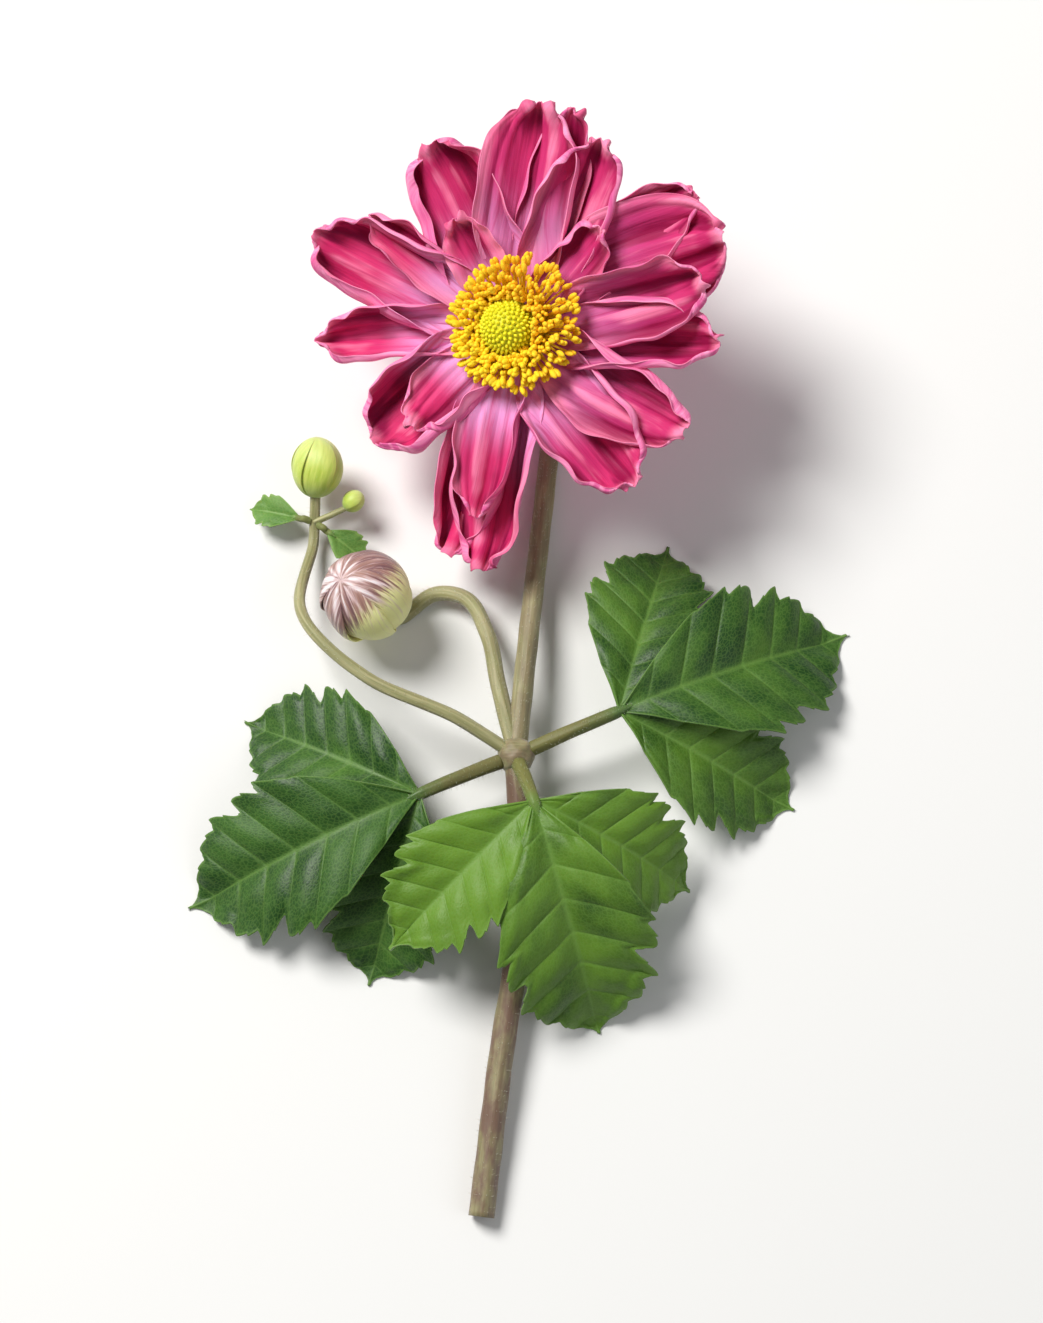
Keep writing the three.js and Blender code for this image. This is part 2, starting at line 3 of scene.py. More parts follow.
import bpy
import numpy as np
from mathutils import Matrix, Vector


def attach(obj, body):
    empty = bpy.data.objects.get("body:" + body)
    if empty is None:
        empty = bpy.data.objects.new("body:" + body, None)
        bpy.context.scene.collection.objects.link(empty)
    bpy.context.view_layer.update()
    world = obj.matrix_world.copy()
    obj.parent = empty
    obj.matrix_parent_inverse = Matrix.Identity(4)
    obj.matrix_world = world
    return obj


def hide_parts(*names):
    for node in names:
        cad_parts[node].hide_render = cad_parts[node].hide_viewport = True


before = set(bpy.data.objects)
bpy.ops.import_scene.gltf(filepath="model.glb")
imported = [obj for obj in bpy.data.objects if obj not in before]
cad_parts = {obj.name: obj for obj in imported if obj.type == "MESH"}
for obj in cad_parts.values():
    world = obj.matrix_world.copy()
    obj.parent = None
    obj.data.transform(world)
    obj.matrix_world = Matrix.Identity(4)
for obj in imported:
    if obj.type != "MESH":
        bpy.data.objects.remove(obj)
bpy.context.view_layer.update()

MM = 0.001
SEED = 20
rng = np.random.default_rng(SEED)

# Driving dimensions, the same as the solids have
BOX_CENTRE = np.array([0.77, 11.57, 0.0])  # middle of the part's outline, from the whorl
WHORL = np.array([0.0, 0.0, 7.0])  # where leaves and side stalks leave the stem
BLOOM = np.array([0.0, 56.0, 17.0])  # top of the receptacle
FACING = np.array([-0.28, -0.25, 0.93])  # the way the bloom looks
FACING /= np.linalg.norm(FACING)
UP = np.array([0.0, 0.0, 1.0])
PETAL_ROOT = 2.6  # how far from the bloom's axis a petal starts
TIP_CURL = 34  # degrees that the last of a petal turns up
RING_TOP = 3.0  # of the ring that the stamens stand on
CARPEL_FOOT = 1.4
CARPEL_CENTRE, CARPEL_RADIUS = 3.6, 3.75
NODE_RADIUS = 2.5  # the swelling of the stem at the whorl
LEAF_TEETH, BRACT_TEETH = 8, 3

# One row for each petal. Lengths are in millimetres and angles in degrees: its turn about the
# bloom, its reach and width, how blunt its tip is, its slope at the root and at the tip, the
# height of its root, its tilt to one side, how it is cupped and how its edges roll, the height
# and number of its pleats, and how far it sweeps aside.
PETAL_FIELDS = "turn reach width blunt rise tip level bank cup roll fold pleats sweep".split()
PETALS = [dict(zip(PETAL_FIELDS, row)) for row in [
    (70, 31, 11, 2.6, 2, 6, -0.3, 0, 0.52, 0.6, 0.43, 2, 0),
    (56, 28.5, 14, 3.4, 6, 10, -0.1, 6, 0.65, 1.35, 0.43, 2, 4),
    (36, 31.5, 13, 2.6, 4, 2, -0.3, 0, 0.52, 0.75, 0.43, 2, -5),
    (-12, 30, 15, 3, 4, 6, -0.3, -12, 1.04, 1.35, 0.36, 2, 5),
    (-56, 28.5, 18, 3.4, 4, 8, -0.2, -4, 0.91, 1.35, 0.43, 2, 4),
    (-96, 33, 17, 2.4, 6, -6, -0.2, 6, 0.65, 0.9, 0.72, 2, -4),
    (-111, 32, 14, 2.4, 3, -4, -0.3, -4, 0.65, 0.9, 0.72, 2, 2),
    (-149, 25, 18, 3.6, 4, 8, -0.2, 0, 0.91, 1.5, 0.29, 2, 5),
    (177, 27.5, 12, 3, 7, 8, 0, 4, 1.17, 1.2, 0.29, 2, 4),
    (153, 30.5, 18, 3.4, 8, 8, 0, -6, 0.78, 1.5, 0.58, 2.5, -2),
    (109, 27.5, 20, 3.6, 6, 8, -0.1, 6, 0.39, 1.2, 0.87, 2, 2),
    (81, 30.5, 17, 3.2, 11, 0, 0.2, 0, 0.39, 1.2, 0.72, 2, -3),
    (27, 32, 19, 3, 11, -4, 0.2, 6, -0.26, 0.9, 0.58, 3, -10),
    (5, 28.5, 14, 3.4, 13, 4, 0.3, 4, 0.52, 1.2, 0.58, 2, 5),
    (-33, 29, 16, 2, 13, 2, 0.2, 4, 0.52, 1.05, 0.72, 1.5, 2),
    (-102, 26, 12, 2.2, 14, -2, 0.3, 0, 0.91, 0.6, 0.43, 1.5, 0),
    (-140, 19, 12, 3, 14, 14, 0.3, 6, 0.52, 0.75, 0.58, 1.5, 5),
    (139, 25, 9, 2.6, 13, 6, 0.3, 0, 0.91, 0.6, 0.43, 1.5, 0),
    (113, 17, 9, 3, 11, 18, 0.3, 0, 0.5, 0.5, 0.58, 1.5, 0),
    (42, 19, 10, 3, 12, 18, 0.3, 0, 0.52, 0.75, 0.58, 1.5, 0),
]]

# Stamens in rows from the outer one in: count, slope in degrees, length, distance from the axis
STAMEN_ROWS = [
    (50, 26, 4.4, 5.0), (54, 41, 4.1, 4.9), (52, 57, 3.7, 4.8),
    (48, 75, 3.3, 4.75), (40, 89, 2.8, 4.7), (32, 98, 2.3, 4.6),
]


def unit(v):
    """A vector, or each vector of an array, with a length of one."""
    v = np.asarray(v, float)
    return v / np.linalg.norm(v, axis=-1, keepdims=True)


def below_bloom(distance):
    return BLOOM - FACING * distance


def bud(centre, axis, radius, length):
    return dict(centre=np.array(centre, float), axis=unit(axis), radius=radius, length=length)


def under_bud(b, distance):
    return b["centre"] - b["axis"] * (b["length"] / 2 + distance)


STRIPED_BUD = bud((-20, 21.5, 8.4), (-0.5, 0.12, 0.86), 6.2, 12.4)
GREEN_BUD = bud((-27, 40, 6.6), (0.05, 0.9, 0.42), 3.5, 8.2)
TINY_BUD = bud((-22, 35.6, 5.4), (0.72, 0.6, 0.3), 1.5, 3.2)
BRACT_NODE = under_bud(GREEN_BUD, 3.4)

# The points that each stalk passes through
MAIN_STEM = [(-4.5, -60, 1.6), (-2, -40, 3.2), (0.9, -19, 5.4), WHORL]
BLOOM_STALK = [
    WHORL, (1.4, 14, 5.6), (3, 29, 2.8), (4.4, 42, 1.25), (5.2, 52, 1.3), (4.6, 58.2, 4.6),
    below_bloom(7.2), below_bloom(2),
]
STRIPED_STALK = [
    WHORL, (-2.2, 9, 6.4), (-3.8, 17, 4.8), (-6.6, 22.4, 3.2), (-11, 23.6, 1.7),
    under_bud(STRIPED_BUD, 2.4), under_bud(STRIPED_BUD, -0.3),
]
GREEN_STALK = [
    WHORL, (-8, 4.6, 9.6), (-20, 10, 10.4), (-28.5, 19, 8.6), under_bud(GREEN_BUD, 6),
    under_bud(GREEN_BUD, -0.3),
]
TINY_STALK = [BRACT_NODE, (BRACT_NODE + under_bud(TINY_BUD, 0)) / 2, under_bud(TINY_BUD, -0.3)]

# Lobes of the leaves, and the bracts as leaves of one lobe: its turn from the leaf's own, length,
# width, slope at the root and at the tip, and how far it is raised
LOBE_FIELDS = "turn length width rise tip level".split()


def leaf(name, turn, stalk, rise, lobes):
    lobes = [dict(zip(LOBE_FIELDS, row)) for row in lobes]
    return dict(name=name, turn=turn, stalk=stalk, rise=rise, lobes=lobes)


LEAVES = [
    leaf("leaf_left", 204, 11, 8, [
        (0, 38, 23, 4, -44, 0.5), (50, 29, 19, -4, -46, 0), (-50, 30, 19, -6, -38, 0)]),
    leaf("leaf_right", 22, 12, 8, [
        (0, 38, 23, 2, -43, 0.5), (52, 29, 19, -6, -36, 0), (-48, 30, 19, -6, -42, 0)]),
    leaf("leaf_front", 287, 8.5, 45, [
        (0, 38, 23, 2, -67, 0.5), (48, 28, 18, -6, -56, 0), (-62, 28, 18, 0, -24, 0)]),
]
BRACTS = [
    leaf("small_bract_outer", 165, 0.6, 0, [(0, 8, 5.4, 0, -30, 0)]),
    leaf("small_bract_inner", -36, 0.7, 0, [(0, 7.2, 5.4, -3, -26, 0)]),
]


# Camera, high over the flower, where it sees the bloom's face much as the photograph does

LENS, SENSOR_HEIGHT = 90, 36  # millimetres
CAMERA_RISE = math.radians(76)
CAMERA_DISTANCE = 0.44  # metres
LOOKED_AT = np.array([0.0, 1.0, 8.0]) * MM


def make_camera():
    data = bpy.data.cameras.new("camera")
    data.sensor_fit = "VERTICAL"
    data.sensor_height = SENSOR_HEIGHT
    data.lens = LENS
    data.clip_start, data.clip_end = 0.01, 20
    camera = bpy.data.objects.new("camera", data)
    bpy.context.scene.collection.objects.link(camera)
    back = np.array([0, -math.cos(CAMERA_RISE), math.sin(CAMERA_RISE)])
    camera.location = LOOKED_AT + back * CAMERA_DISTANCE
    camera.rotation_euler = (math.pi / 2 - CAMERA_RISE, 0, 0)
    bpy.context.scene.camera = camera


make_camera()


# Mesh building

def smooth(x, low, high):
    """A soft step from 0 at low to 1 at high."""
    t = np.clip((x - low) / (high - low), 0, 1)
    return t * t * (3 - 2 * t)


def scatter(i, k):
    """A repeatable draw from 0 to 1 for item i, stream k."""
    x = np.sin(i * 12.9898 + k * 78.233) * 43758.5453
    return x - np.floor(x)


def crowded(count, bend):
    """Places from -1 to 1 that come closer together towards both ends."""
    return np.sin(np.linspace(-1, 1, count) * math.pi / 2 * bend) / math.sin(math.pi / 2 * bend)


def rotation(axis, angle):
    """The matrix that turns points about an axis of length one, by an angle in radians."""
    x, y, z = axis
    k = np.array([[0, -z, y], [z, 0, -x], [-y, x, 0]])
    return np.eye(3) + math.sin(angle) * k + (1 - math.cos(angle)) * k @ k


class Shape:
    """Points in millimetres and faces, with named values at each point.

    The value along says where a point lies, lengthwise and across, for the patterns that follow
    a petal, leaf or stalk. Its third number gives each piece a pattern of its own.
    """

    def __init__(self):
        self.points, self.faces, self.values, self.count = [], [], {}, 0

    def add(self, points, faces, **values):
        points = np.asarray(points, float).reshape(-1, 3)
        for name, value in values.items():
            size = (len(points), 3) if name == "along" else len(points)
            self.values.setdefault(name, []).append(np.broadcast_to(value, size))
        self.points.append(points)
        self.faces += [[v + self.count for v in face] for face in faces]
        self.count += len(points)

    def face_up(self):
        """Moves the shape from the bloom's own frame, whose axis is upright, to its place."""
        self.points = [points @ BLOOM_TURN.T + BLOOM for points in self.points]

    def piece(self, name, slot, material, node):
        """The shape as an object that rides on the flower and stands for the node."""
        points = np.concatenate(self.points)
        points[:, 2] = np.maximum(points[:, 2], 0)  # nothing sinks below what the flower lies on
        mesh = bpy.data.meshes.new(name)
        mesh.from_pydata(((points - BOX_CENTRE) * MM).tolist(), [], self.faces)
        for key, parts in self.values.items():
            kind, field = ("FLOAT_VECTOR", "vector") if key == "along" else ("FLOAT", "value")
            layer = mesh.attributes.new(key, kind, "POINT")
            layer.data.foreach_set(field, np.concatenate(parts).astype(np.float32).ravel())
        mesh.polygons.foreach_set("use_smooth", [True] * len(mesh.polygons))
        mesh.materials.append(material)
        mesh.update()
        piece = bpy.data.objects.new(name, mesh)
        bpy.context.scene.collection.objects.link(piece)
        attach(piece, "root")
        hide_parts(node)


def grid_faces(rows, columns, wrap=False):
    """Faces of a grid of points; wrap joins its last column to its first."""
    across = columns if wrap else columns - 1
    i, j = np.meshgrid(np.arange(rows - 1), np.arange(across), indexing="ij")
    a = i * columns + j
    b = i * columns + (j + 1) % columns
    return np.stack([a, a + columns, b + columns, b], -1).reshape(-1, 4)


def barrel_faces(rows, columns, turned_over=False):
    """Faces of a stack of rings, closed at both ends by two points that come after them."""
    ring = np.arange(columns)
    after = (ring + 1) % columns
    first = rows * columns
    last_ring = first - columns
    parts = [
        grid_faces(rows, columns, wrap=True)[:, ::-1],
        np.stack([np.full(columns, first), after, ring], -1),
        np.stack([np.full(columns, first + 1), last_ring + ring, last_ring + after], -1),
    ]
    return [face for part in parts for face in (part[:, ::-1] if turned_over else part).tolist()]


def normals_of(surface):
    return unit(np.cross(np.gradient(surface, axis=0), np.gradient(surface, axis=1)))


def sheet(shape, surface, thickness, **values):
    """A closed blade of the given thickness round a grid of points."""
    rows, columns = surface.shape[:2]
    normal = normals_of(surface) * thickness[..., None] / 2
    points = np.concatenate([(surface + normal).reshape(-1, 3), (surface - normal).reshape(-1, 3)])
    n = rows * columns
    top = grid_faces(rows, columns)
    bottom = top[:, ::-1] + n
    edge = np.concatenate([
        np.arange(columns - 1), np.arange(columns - 1, n - 1, columns),
        np.arange(n - 1, n - columns, -1), np.arange(n - columns, 0, -columns)])
    after = np.roll(edge, -1)
    rim = np.stack([edge, after, after + n, edge + n], -1)
    both_sides = {"under": np.repeat([0.0, 1.0], n)}
    for key, value in values.items():
        size = surface.shape if key == "along" else surface.shape[:2]
        flat = np.broadcast_to(value, size).reshape(n, *size[2:])
        both_sides[key] = np.concatenate([flat, flat])
    shape.add(points, np.concatenate([top, bottom, rim]), **both_sides)


def frames_along(path):
    """Two directions across the path at each of its points, turning with it and not twisting."""
    tangent = unit(np.gradient(path, axis=0))
    side = unit(np.cross(tangent[0], UP))
    sides = []
    for t in tangent:
        side = unit(side - t * side.dot(t))
        sides.append(side)
    sides = np.array(sides)
    return sides, np.cross(tangent, sides)


def smooth_path(knots, count):
    """Evenly spaced points on the centripetal curve through the knots, and how far along."""
    p = np.array([np.asarray(knot, float) for knot in knots])
    p = np.vstack([2 * p[0] - p[1], p, 2 * p[-1] - p[-2]])
    samples = 40
    dense = []
    for i in range(1, len(p) - 2):
        x0, x1, x2, x3 = p[i - 1:i + 3]
        d0, d1, d2 = (max(np.linalg.norm(b - a) ** 0.5, 1e-4)
                      for a, b in ((x0, x1), (x1, x2), (x2, x3)))
        t1 = ((x1 - x0) / d0 - (x2 - x0) / (d0 + d1) + (x2 - x1) / d1) * d1
        t2 = ((x2 - x1) / d1 - (x3 - x1) / (d1 + d2) + (x3 - x2) / d2) * d1
        t = np.linspace(0, 1, samples, endpoint=i == len(p) - 3)[:, None]
        dense.append(x1 + t1 * t + (-3 * x1 + 3 * x2 - 2 * t1 - t2) * t**2
                     + (2 * x1 - 2 * x2 + t1 + t2) * t**3)
    dense = np.concatenate(dense)
    run = np.concatenate([[0], np.cumsum(np.linalg.norm(np.diff(dense, axis=0), axis=1))])
    even = np.linspace(0, run[-1], count)
    return np.stack([np.interp(even, run, dense[:, k]) for k in range(3)], -1), even


def tube(shape, knots, radii, sides, rings, ribs=0.03, taper=0.0, **values):
    """A closed round stalk, ribbed along its length; returns where hairs can grow."""
    path, run = smooth_path(knots, rings)
    side, up = frames_along(path)
    run = run[:, None]
    angle = np.linspace(0, 2 * math.pi, sides, endpoint=False)
    narrowing = 1 - taper * smooth(run / run[-1], 0.75, 1)
    radius = np.linspace(*radii, rings)[:, None] * narrowing
    wander = 0.02 * np.sin(run * 0.9 + 3 * angle) + ribs * np.cos(5 * angle + 0.04 * run)
    out = np.cos(angle)[:, None] * side[:, None] + np.sin(angle)[:, None] * up[:, None]
    surface = path[:, None] + out * (radius * (1 + wander))[..., None]
    around = radii[0] * angle
    along = np.stack(np.broadcast_arrays(run, around, np.full((1, 1), radii[0] * 9)), -1)
    along = np.concatenate([along.reshape(-1, 3), [[0, 0, 0], [run[-1, 0], 0, 0]]])
    points = np.concatenate([surface.reshape(-1, 3), path[:1], path[-1:]])
    shape.add(points, barrel_faces(rings, sides), along=along, **values)
    return surface, out


def ball(shape, centre, radii, axes, segments, rings, poles=False, **values):
    """A closed ellipsoid, whose three radii lie along the rows of axes."""
    polar = np.linspace(0, math.pi, rings + 1)[1:-1]
    angle = np.linspace(0, 2 * math.pi, segments, endpoint=False)
    x = np.sin(polar)[:, None] * np.cos(angle)
    y = np.sin(polar)[:, None] * np.sin(angle)
    z = np.broadcast_to(np.cos(polar)[:, None], x.shape)
    local = np.concatenate([np.stack([x, y, z], -1).reshape(-1, 3), [UP, -UP]])
    points = (local * radii) @ axes + centre
    if poles:
        values["height"] = local[:, 2]
    faces = barrel_faces(rings - 1, segments, turned_over=True)
    shape.add(points, faces, along=points, **values)
    return points


def ringed(shape, section, **values):
    """A closed ring about the upright axis, from the [radius, height] pairs round its section."""
    segments = 60
    angle = np.linspace(0, 2 * math.pi, segments, endpoint=False)
    out = np.stack([np.cos(angle), np.sin(angle), 0 * angle], -1)
    radius, height = np.array(section, float).T[..., None, None]
    points = (radius * out + height * UP).reshape(-1, 3)
    faces = grid_faces(len(section) + 1, segments, wrap=True)[:, ::-1] % len(points)
    shape.add(points, faces, along=points, **values)


def turned(shape, profile, origin, axis, **values):
    """A closed round solid, from [radius, height] pairs that start and end on its axis."""
    segments = 40
    side = unit(np.cross(axis, (0, 1, 0.01)))
    angle = np.linspace(0, 2 * math.pi, segments, endpoint=False)[:, None]
    out = np.cos(angle) * side + np.sin(angle) * np.cross(axis, side)
    radius, height = np.array(profile[1:-1], float).T[..., None, None]
    body = (radius * out + height * axis).reshape(-1, 3)
    points = np.concatenate([body, [axis * profile[0][1], axis * profile[-1][1]]]) + origin
    shape.add(points, barrel_faces(len(profile) - 2, segments), along=points, **values)


def hairs(shape, roots, directions, lengths, width, **values):
    """Fine closed spikes, each sunk a little into what it grows from."""
    sunk, lowest, corners = 0.08, 0.01, (0, 2.09, 4.19)
    side = unit(np.cross(directions, rng.normal(size=(len(roots), 3))))
    up = np.cross(directions, side)
    foot = roots - directions * sunk
    points = [foot + width * (math.cos(a) * side + math.sin(a) * up) for a in corners]
    points.append(foot + directions * (lengths[:, None] + sunk))
    points = np.stack(points, 1).reshape(-1, 3)
    points[:, 2] = np.maximum(points[:, 2], lowest)
    k = np.arange(len(roots))[:, None] * 4
    faces = np.concatenate([k + [0, 1, 3], k + [1, 2, 3], k + [2, 0, 3], k + [2, 1, 0]])
    shape.add(points, faces, **values)


# Materials

# The sockets of a Mix node that carry colours
MIX_A, MIX_B, MIX_RESULT = 6, 7, 2


class Shader:
    """A procedural material, whose colour is painted in layers."""

    def __init__(self, name, **sockets):
        self.material = bpy.data.materials.new(name)
        self.material.use_nodes = True
        self.tree = self.material.node_tree
        self.main = self.tree.nodes["Principled BSDF"]
        for key, value in sockets.items():
            self.put(self.main.inputs[key.replace("_", " ")], value)

    def put(self, socket, value):
        if isinstance(value, bpy.types.NodeSocket):
            self.tree.links.new(value, socket)
        elif isinstance(value, tuple) and socket.type == "RGBA":
            socket.default_value = (*value, 1)
        else:
            socket.default_value = value

    def node(self, kind, inputs, output=0, **settings):
        node = self.tree.nodes.new("ShaderNode" + kind)
        for key, value in settings.items():
            setattr(node, key, value)
        for key, value in inputs.items():
            self.put(node.inputs[key], value)
        return node.outputs[output]

    def values(self, *names):
        """The values that a shape has at each point, by name."""
        return [self.node("Attribute", {}, "Fac", attribute_name=name) for name in names]

    def along(self, stretch):
        vector = self.node("Attribute", {}, "Vector", attribute_name="along")
        return self.node("VectorMath", {0: vector, 1: stretch}, operation="MULTIPLY")

    def noise(self, stretch, detail=3, rough=0.55, scale=1.0):
        inputs = {"Vector": self.along(stretch), "Scale": scale, "Detail": detail,
                  "Roughness": rough}
        return self.node("TexNoise", inputs)

    def times(self, a, b):
        return self.node("Math", {0: a, 1: b}, operation="MULTIPLY")

    def plus(self, a, b):
        return self.node("Math", {0: a, 1: b}, operation="ADD")

    def swing(self, noise, size):
        """A noise, moved to lie round nothing, times its size."""
        return self.times(self.node("Math", {0: noise, 1: 0.5}, operation="SUBTRACT"), size)

    def ramp(self, value, low, high, to_low=0.0, to_high=1.0):
        inputs = {"Value": value, "From Min": low, "From Max": high, "To Min": to_low,
                  "To Max": to_high}
        return self.node("MapRange", inputs, interpolation_type="SMOOTHSTEP")

    def mix(self, share, a, b):
        inputs = {"Factor": share, MIX_A: a, MIX_B: b}
        return self.node("Mix", inputs, MIX_RESULT, data_type="RGBA")

    def paint(self, share, colour):
        """Lays a colour over those before, as much as the share says."""
        self.colour = self.mix(share, self.colour, colour)

    def bump(self, *layers):
        """Relief from (height, strength, distance in millimetres), one layer on the other."""
        lower = {}
        for height, strength, distance in layers:
            inputs = {"Height": height, "Strength": strength, "Distance": distance * MM}
            lower = {"Normal": self.node("Bump", inputs | lower)}
        self.put(self.main.inputs["Normal"], lower["Normal"])

    def finish(self, roughness=None):
        self.put(self.main.inputs["Base Color"], self.colour)
        if roughness is not None:
            self.put(self.main.inputs["Roughness"], roughness)
        return self.material


def petal_material():
    magenta, violet, crimson = (0.62, 0.036, 0.165), (0.42, 0.04, 0.18), (0.6, 0.014, 0.1)
    # The first two colours below are painted shade for the hollows of the folds and a painted
    # highlight for their ridges
    painted_hollow_shade, painted_ridge_highlight, dark_vein = (0.28, 0.006, 0.06), (0.82, 0.195, 0.35), (0.3, 0.004, 0.07)
    lilac, pale_lip_highlight = (0.82, 0.38, 0.73), (0.95, 0.29, 0.46)
    back_light, back_dark = (0.98, 0.34, 0.56), (0.72, 0.11, 0.32)
    s = Shader("petal", Subsurface_Weight=0.1, Subsurface_Scale=0.0012,
               Subsurface_Radius=(1.0, 0.25, 0.4), Specular_IOR_Level=0.3,
               Specular_Tint=(1.0, 0.5, 0.72))
    fold, rim, base, under, tone = s.values("fold", "rim", "base", "under", "tone")
    streaks = s.noise((0.07, 1.1, 1), 4, 0.6)
    veins = s.noise((0.04, 3.2, 1), 2, 0.5)
    clouds = s.noise((0.12, 0.2, 1), 2)
    patches = s.noise((0.09, 0.16, 1), 1)
    s.colour = s.mix(s.times(tone, 0.75), magenta, violet)
    s.paint(s.ramp(base, 0.4, 0.9, 0.0, 0.5), crimson)
    # Painted shade and highlight: where the folds lie deep the petal turns crimson as painted
    # shade, and on raised ridges pale pink as a painted highlight, both broken up by real streaks
    # and clouds of colour
    depth = s.plus(s.plus(s.times(fold, 0.45), s.swing(streaks, 0.9)), s.swing(clouds, 1.6))
    s.paint(s.ramp(depth, -0.02, 0.5), painted_hollow_shade)
    s.paint(s.ramp(depth, -0.2, -0.8), painted_ridge_highlight)
    s.paint(s.times(s.ramp(veins, 0.52, 0.7), 0.3), dark_vein)
    root = s.times(s.ramp(base, 0.66, 0.28), s.ramp(tone, 0.95, 0.5, 0.22, 1.0))
    s.paint(s.times(root, s.ramp(streaks, 0.66, 0.44, 0.35, 1.0)), lilac)
    # Pale lip along the edge: the pale back of the rolled edge, with a painted highlight on the
    # raised rim
    lip = s.ramp(s.plus(rim, s.swing(streaks, 2.4)), 2.6, 0.2)
    s.paint(s.times(lip, s.ramp(patches, 0.36, 0.6, 0.2, 0.85)), pale_lip_highlight)
    back = s.mix(s.ramp(streaks, 0.35, 0.65), back_light, back_dark)
    s.paint(s.times(under, 0.85), back)
    s.bump((veins, 0.5, 0.12), (streaks, 0.4, 0.25))
    return s.finish(s.ramp(streaks, 0.3, 0.7, 0.52, 0.66))


def stamen_material():
    yellow, orange = (1.0, 0.64, 0.006), (1.0, 0.44, 0.004)
    pollen, stalk = (1.0, 0.77, 0.03), (1.0, 0.78, 0.02)
    s = Shader("stamen", Roughness=0.75, Subsurface_Weight=0.3, Subsurface_Scale=0.0009,
               Subsurface_Radius=(1.0, 0.6, 0.1))
    tint, filament = s.values("tint", "filament")
    grain = s.noise((1, 1, 1), 4, 0.7, scale=5.0)
    # More orange where the value is high: partly painted shade on one side of the ring, partly
    # random from stamen to stamen
    s.colour = s.mix(tint, yellow, orange)
    s.paint(s.ramp(grain, 0.45, 0.7, 0.0, 0.7), pollen)
    s.paint(s.times(filament, 0.7), stalk)
    s.bump((grain, 0.4, 0.12))
    return s.finish()


def carpel_material():
    # The colour for between the carpels is painted shade in the gaps, and the one for the dome's
    # flank is painted shade on its sides
    between, top = (0.66, 0.61, 0.003), (0.88, 0.78, 0.004)
    shaded_flank, speck = (0.52, 0.54, 0.01), (0.8, 0.78, 0.015)
    s = Shader("carpel", Roughness=0.6, Subsurface_Weight=0.1, Subsurface_Scale=0.0005)
    height, dome = s.values("height", "dome")
    grain = s.noise((1, 1, 1), 3, 0.6, scale=4.0)
    # Painted shade: darker at the foot of each carpel and on the dome under them, lighter on their
    # tops
    s.colour = s.mix(s.ramp(height, -0.1, 0.9), between, top)
    # Painted shade: darker green on the sides of the dome
    s.paint(s.ramp(dome, 0.5, 0.0, 0.0, 0.6), shaded_flank)
    s.paint(s.ramp(grain, 0.5, 0.75, 0.0, 0.6), speck)
    s.bump((grain, 0.5, 0.12))
    return s.finish()


def stem_material():
    olive, straw = (0.23, 0.24, 0.085), (0.42, 0.4, 0.2)
    red_brown, pale_hair = (0.13, 0.06, 0.045), (0.78, 0.76, 0.62)
    s = Shader("stem", Roughness=0.55, Subsurface_Weight=0.06, Subsurface_Scale=0.0008,
               Sheen_Weight=0.25)
    flush, hair = s.values("flush", "hair")
    streaks = s.noise((0.12, 2.2, 1), 4, 0.6)
    blotches = s.noise((0.25, 0.5, 1), 3)
    s.colour = s.mix(s.ramp(streaks, 0.3, 0.7), olive, straw)
    s.paint(s.times(flush, s.ramp(blotches, 0.3, 0.62, 0.45, 1.0)), red_brown)
    s.paint(hair, pale_hair)
    s.bump((streaks, 0.5, 0.2), (blotches, 0.3, 0.3))
    return s.finish()


def leaf_material(name, dark, light, young, vein_colour):
    back, red_brown, pale_hair = (0.2, 0.3, 0.14), (0.19, 0.12, 0.055), (0.7, 0.72, 0.55)
    s = Shader(name, Subsurface_Weight=0.05, Subsurface_Scale=0.0006, Specular_IOR_Level=0.3)
    vein, rim, under, tone = s.values("vein", "rim", "under", "tone")
    flush, hair = s.values("flush", "hair")
    blotches = s.noise((0.12, 0.12, 1), 4)
    grain = s.noise((4, 4, 1), 3)
    cells = s.node("TexVoronoi", {"Vector": s.along((2.0, 2.0, 1)), "Scale": 1.0},
                   feature="DISTANCE_TO_EDGE")
    s.colour = s.mix(s.ramp(blotches, 0.3, 0.7), dark, light)
    s.paint(s.ramp(s.plus(tone, s.swing(blotches, 1.2)), 0.2, 1.1, 0.0, 0.85), young)
    s.paint(s.times(s.ramp(cells, 0.16, 0.0), 0.22), vein_colour)
    s.paint(s.times(vein, 0.45), vein_colour)
    s.paint(s.ramp(rim, 0.45, 0.1, 0.0, 0.4), vein_colour)
    s.paint(s.times(under, 0.6), back)
    s.paint(s.times(flush, s.ramp(blotches, 0.3, 0.6, 0.35, 0.9)), red_brown)
    s.paint(hair, pale_hair)
    s.bump((cells, 0.25, 0.15), (grain, 0.3, 0.08))
    return s.finish(s.ramp(blotches, 0.3, 0.7, 0.42, 0.56))


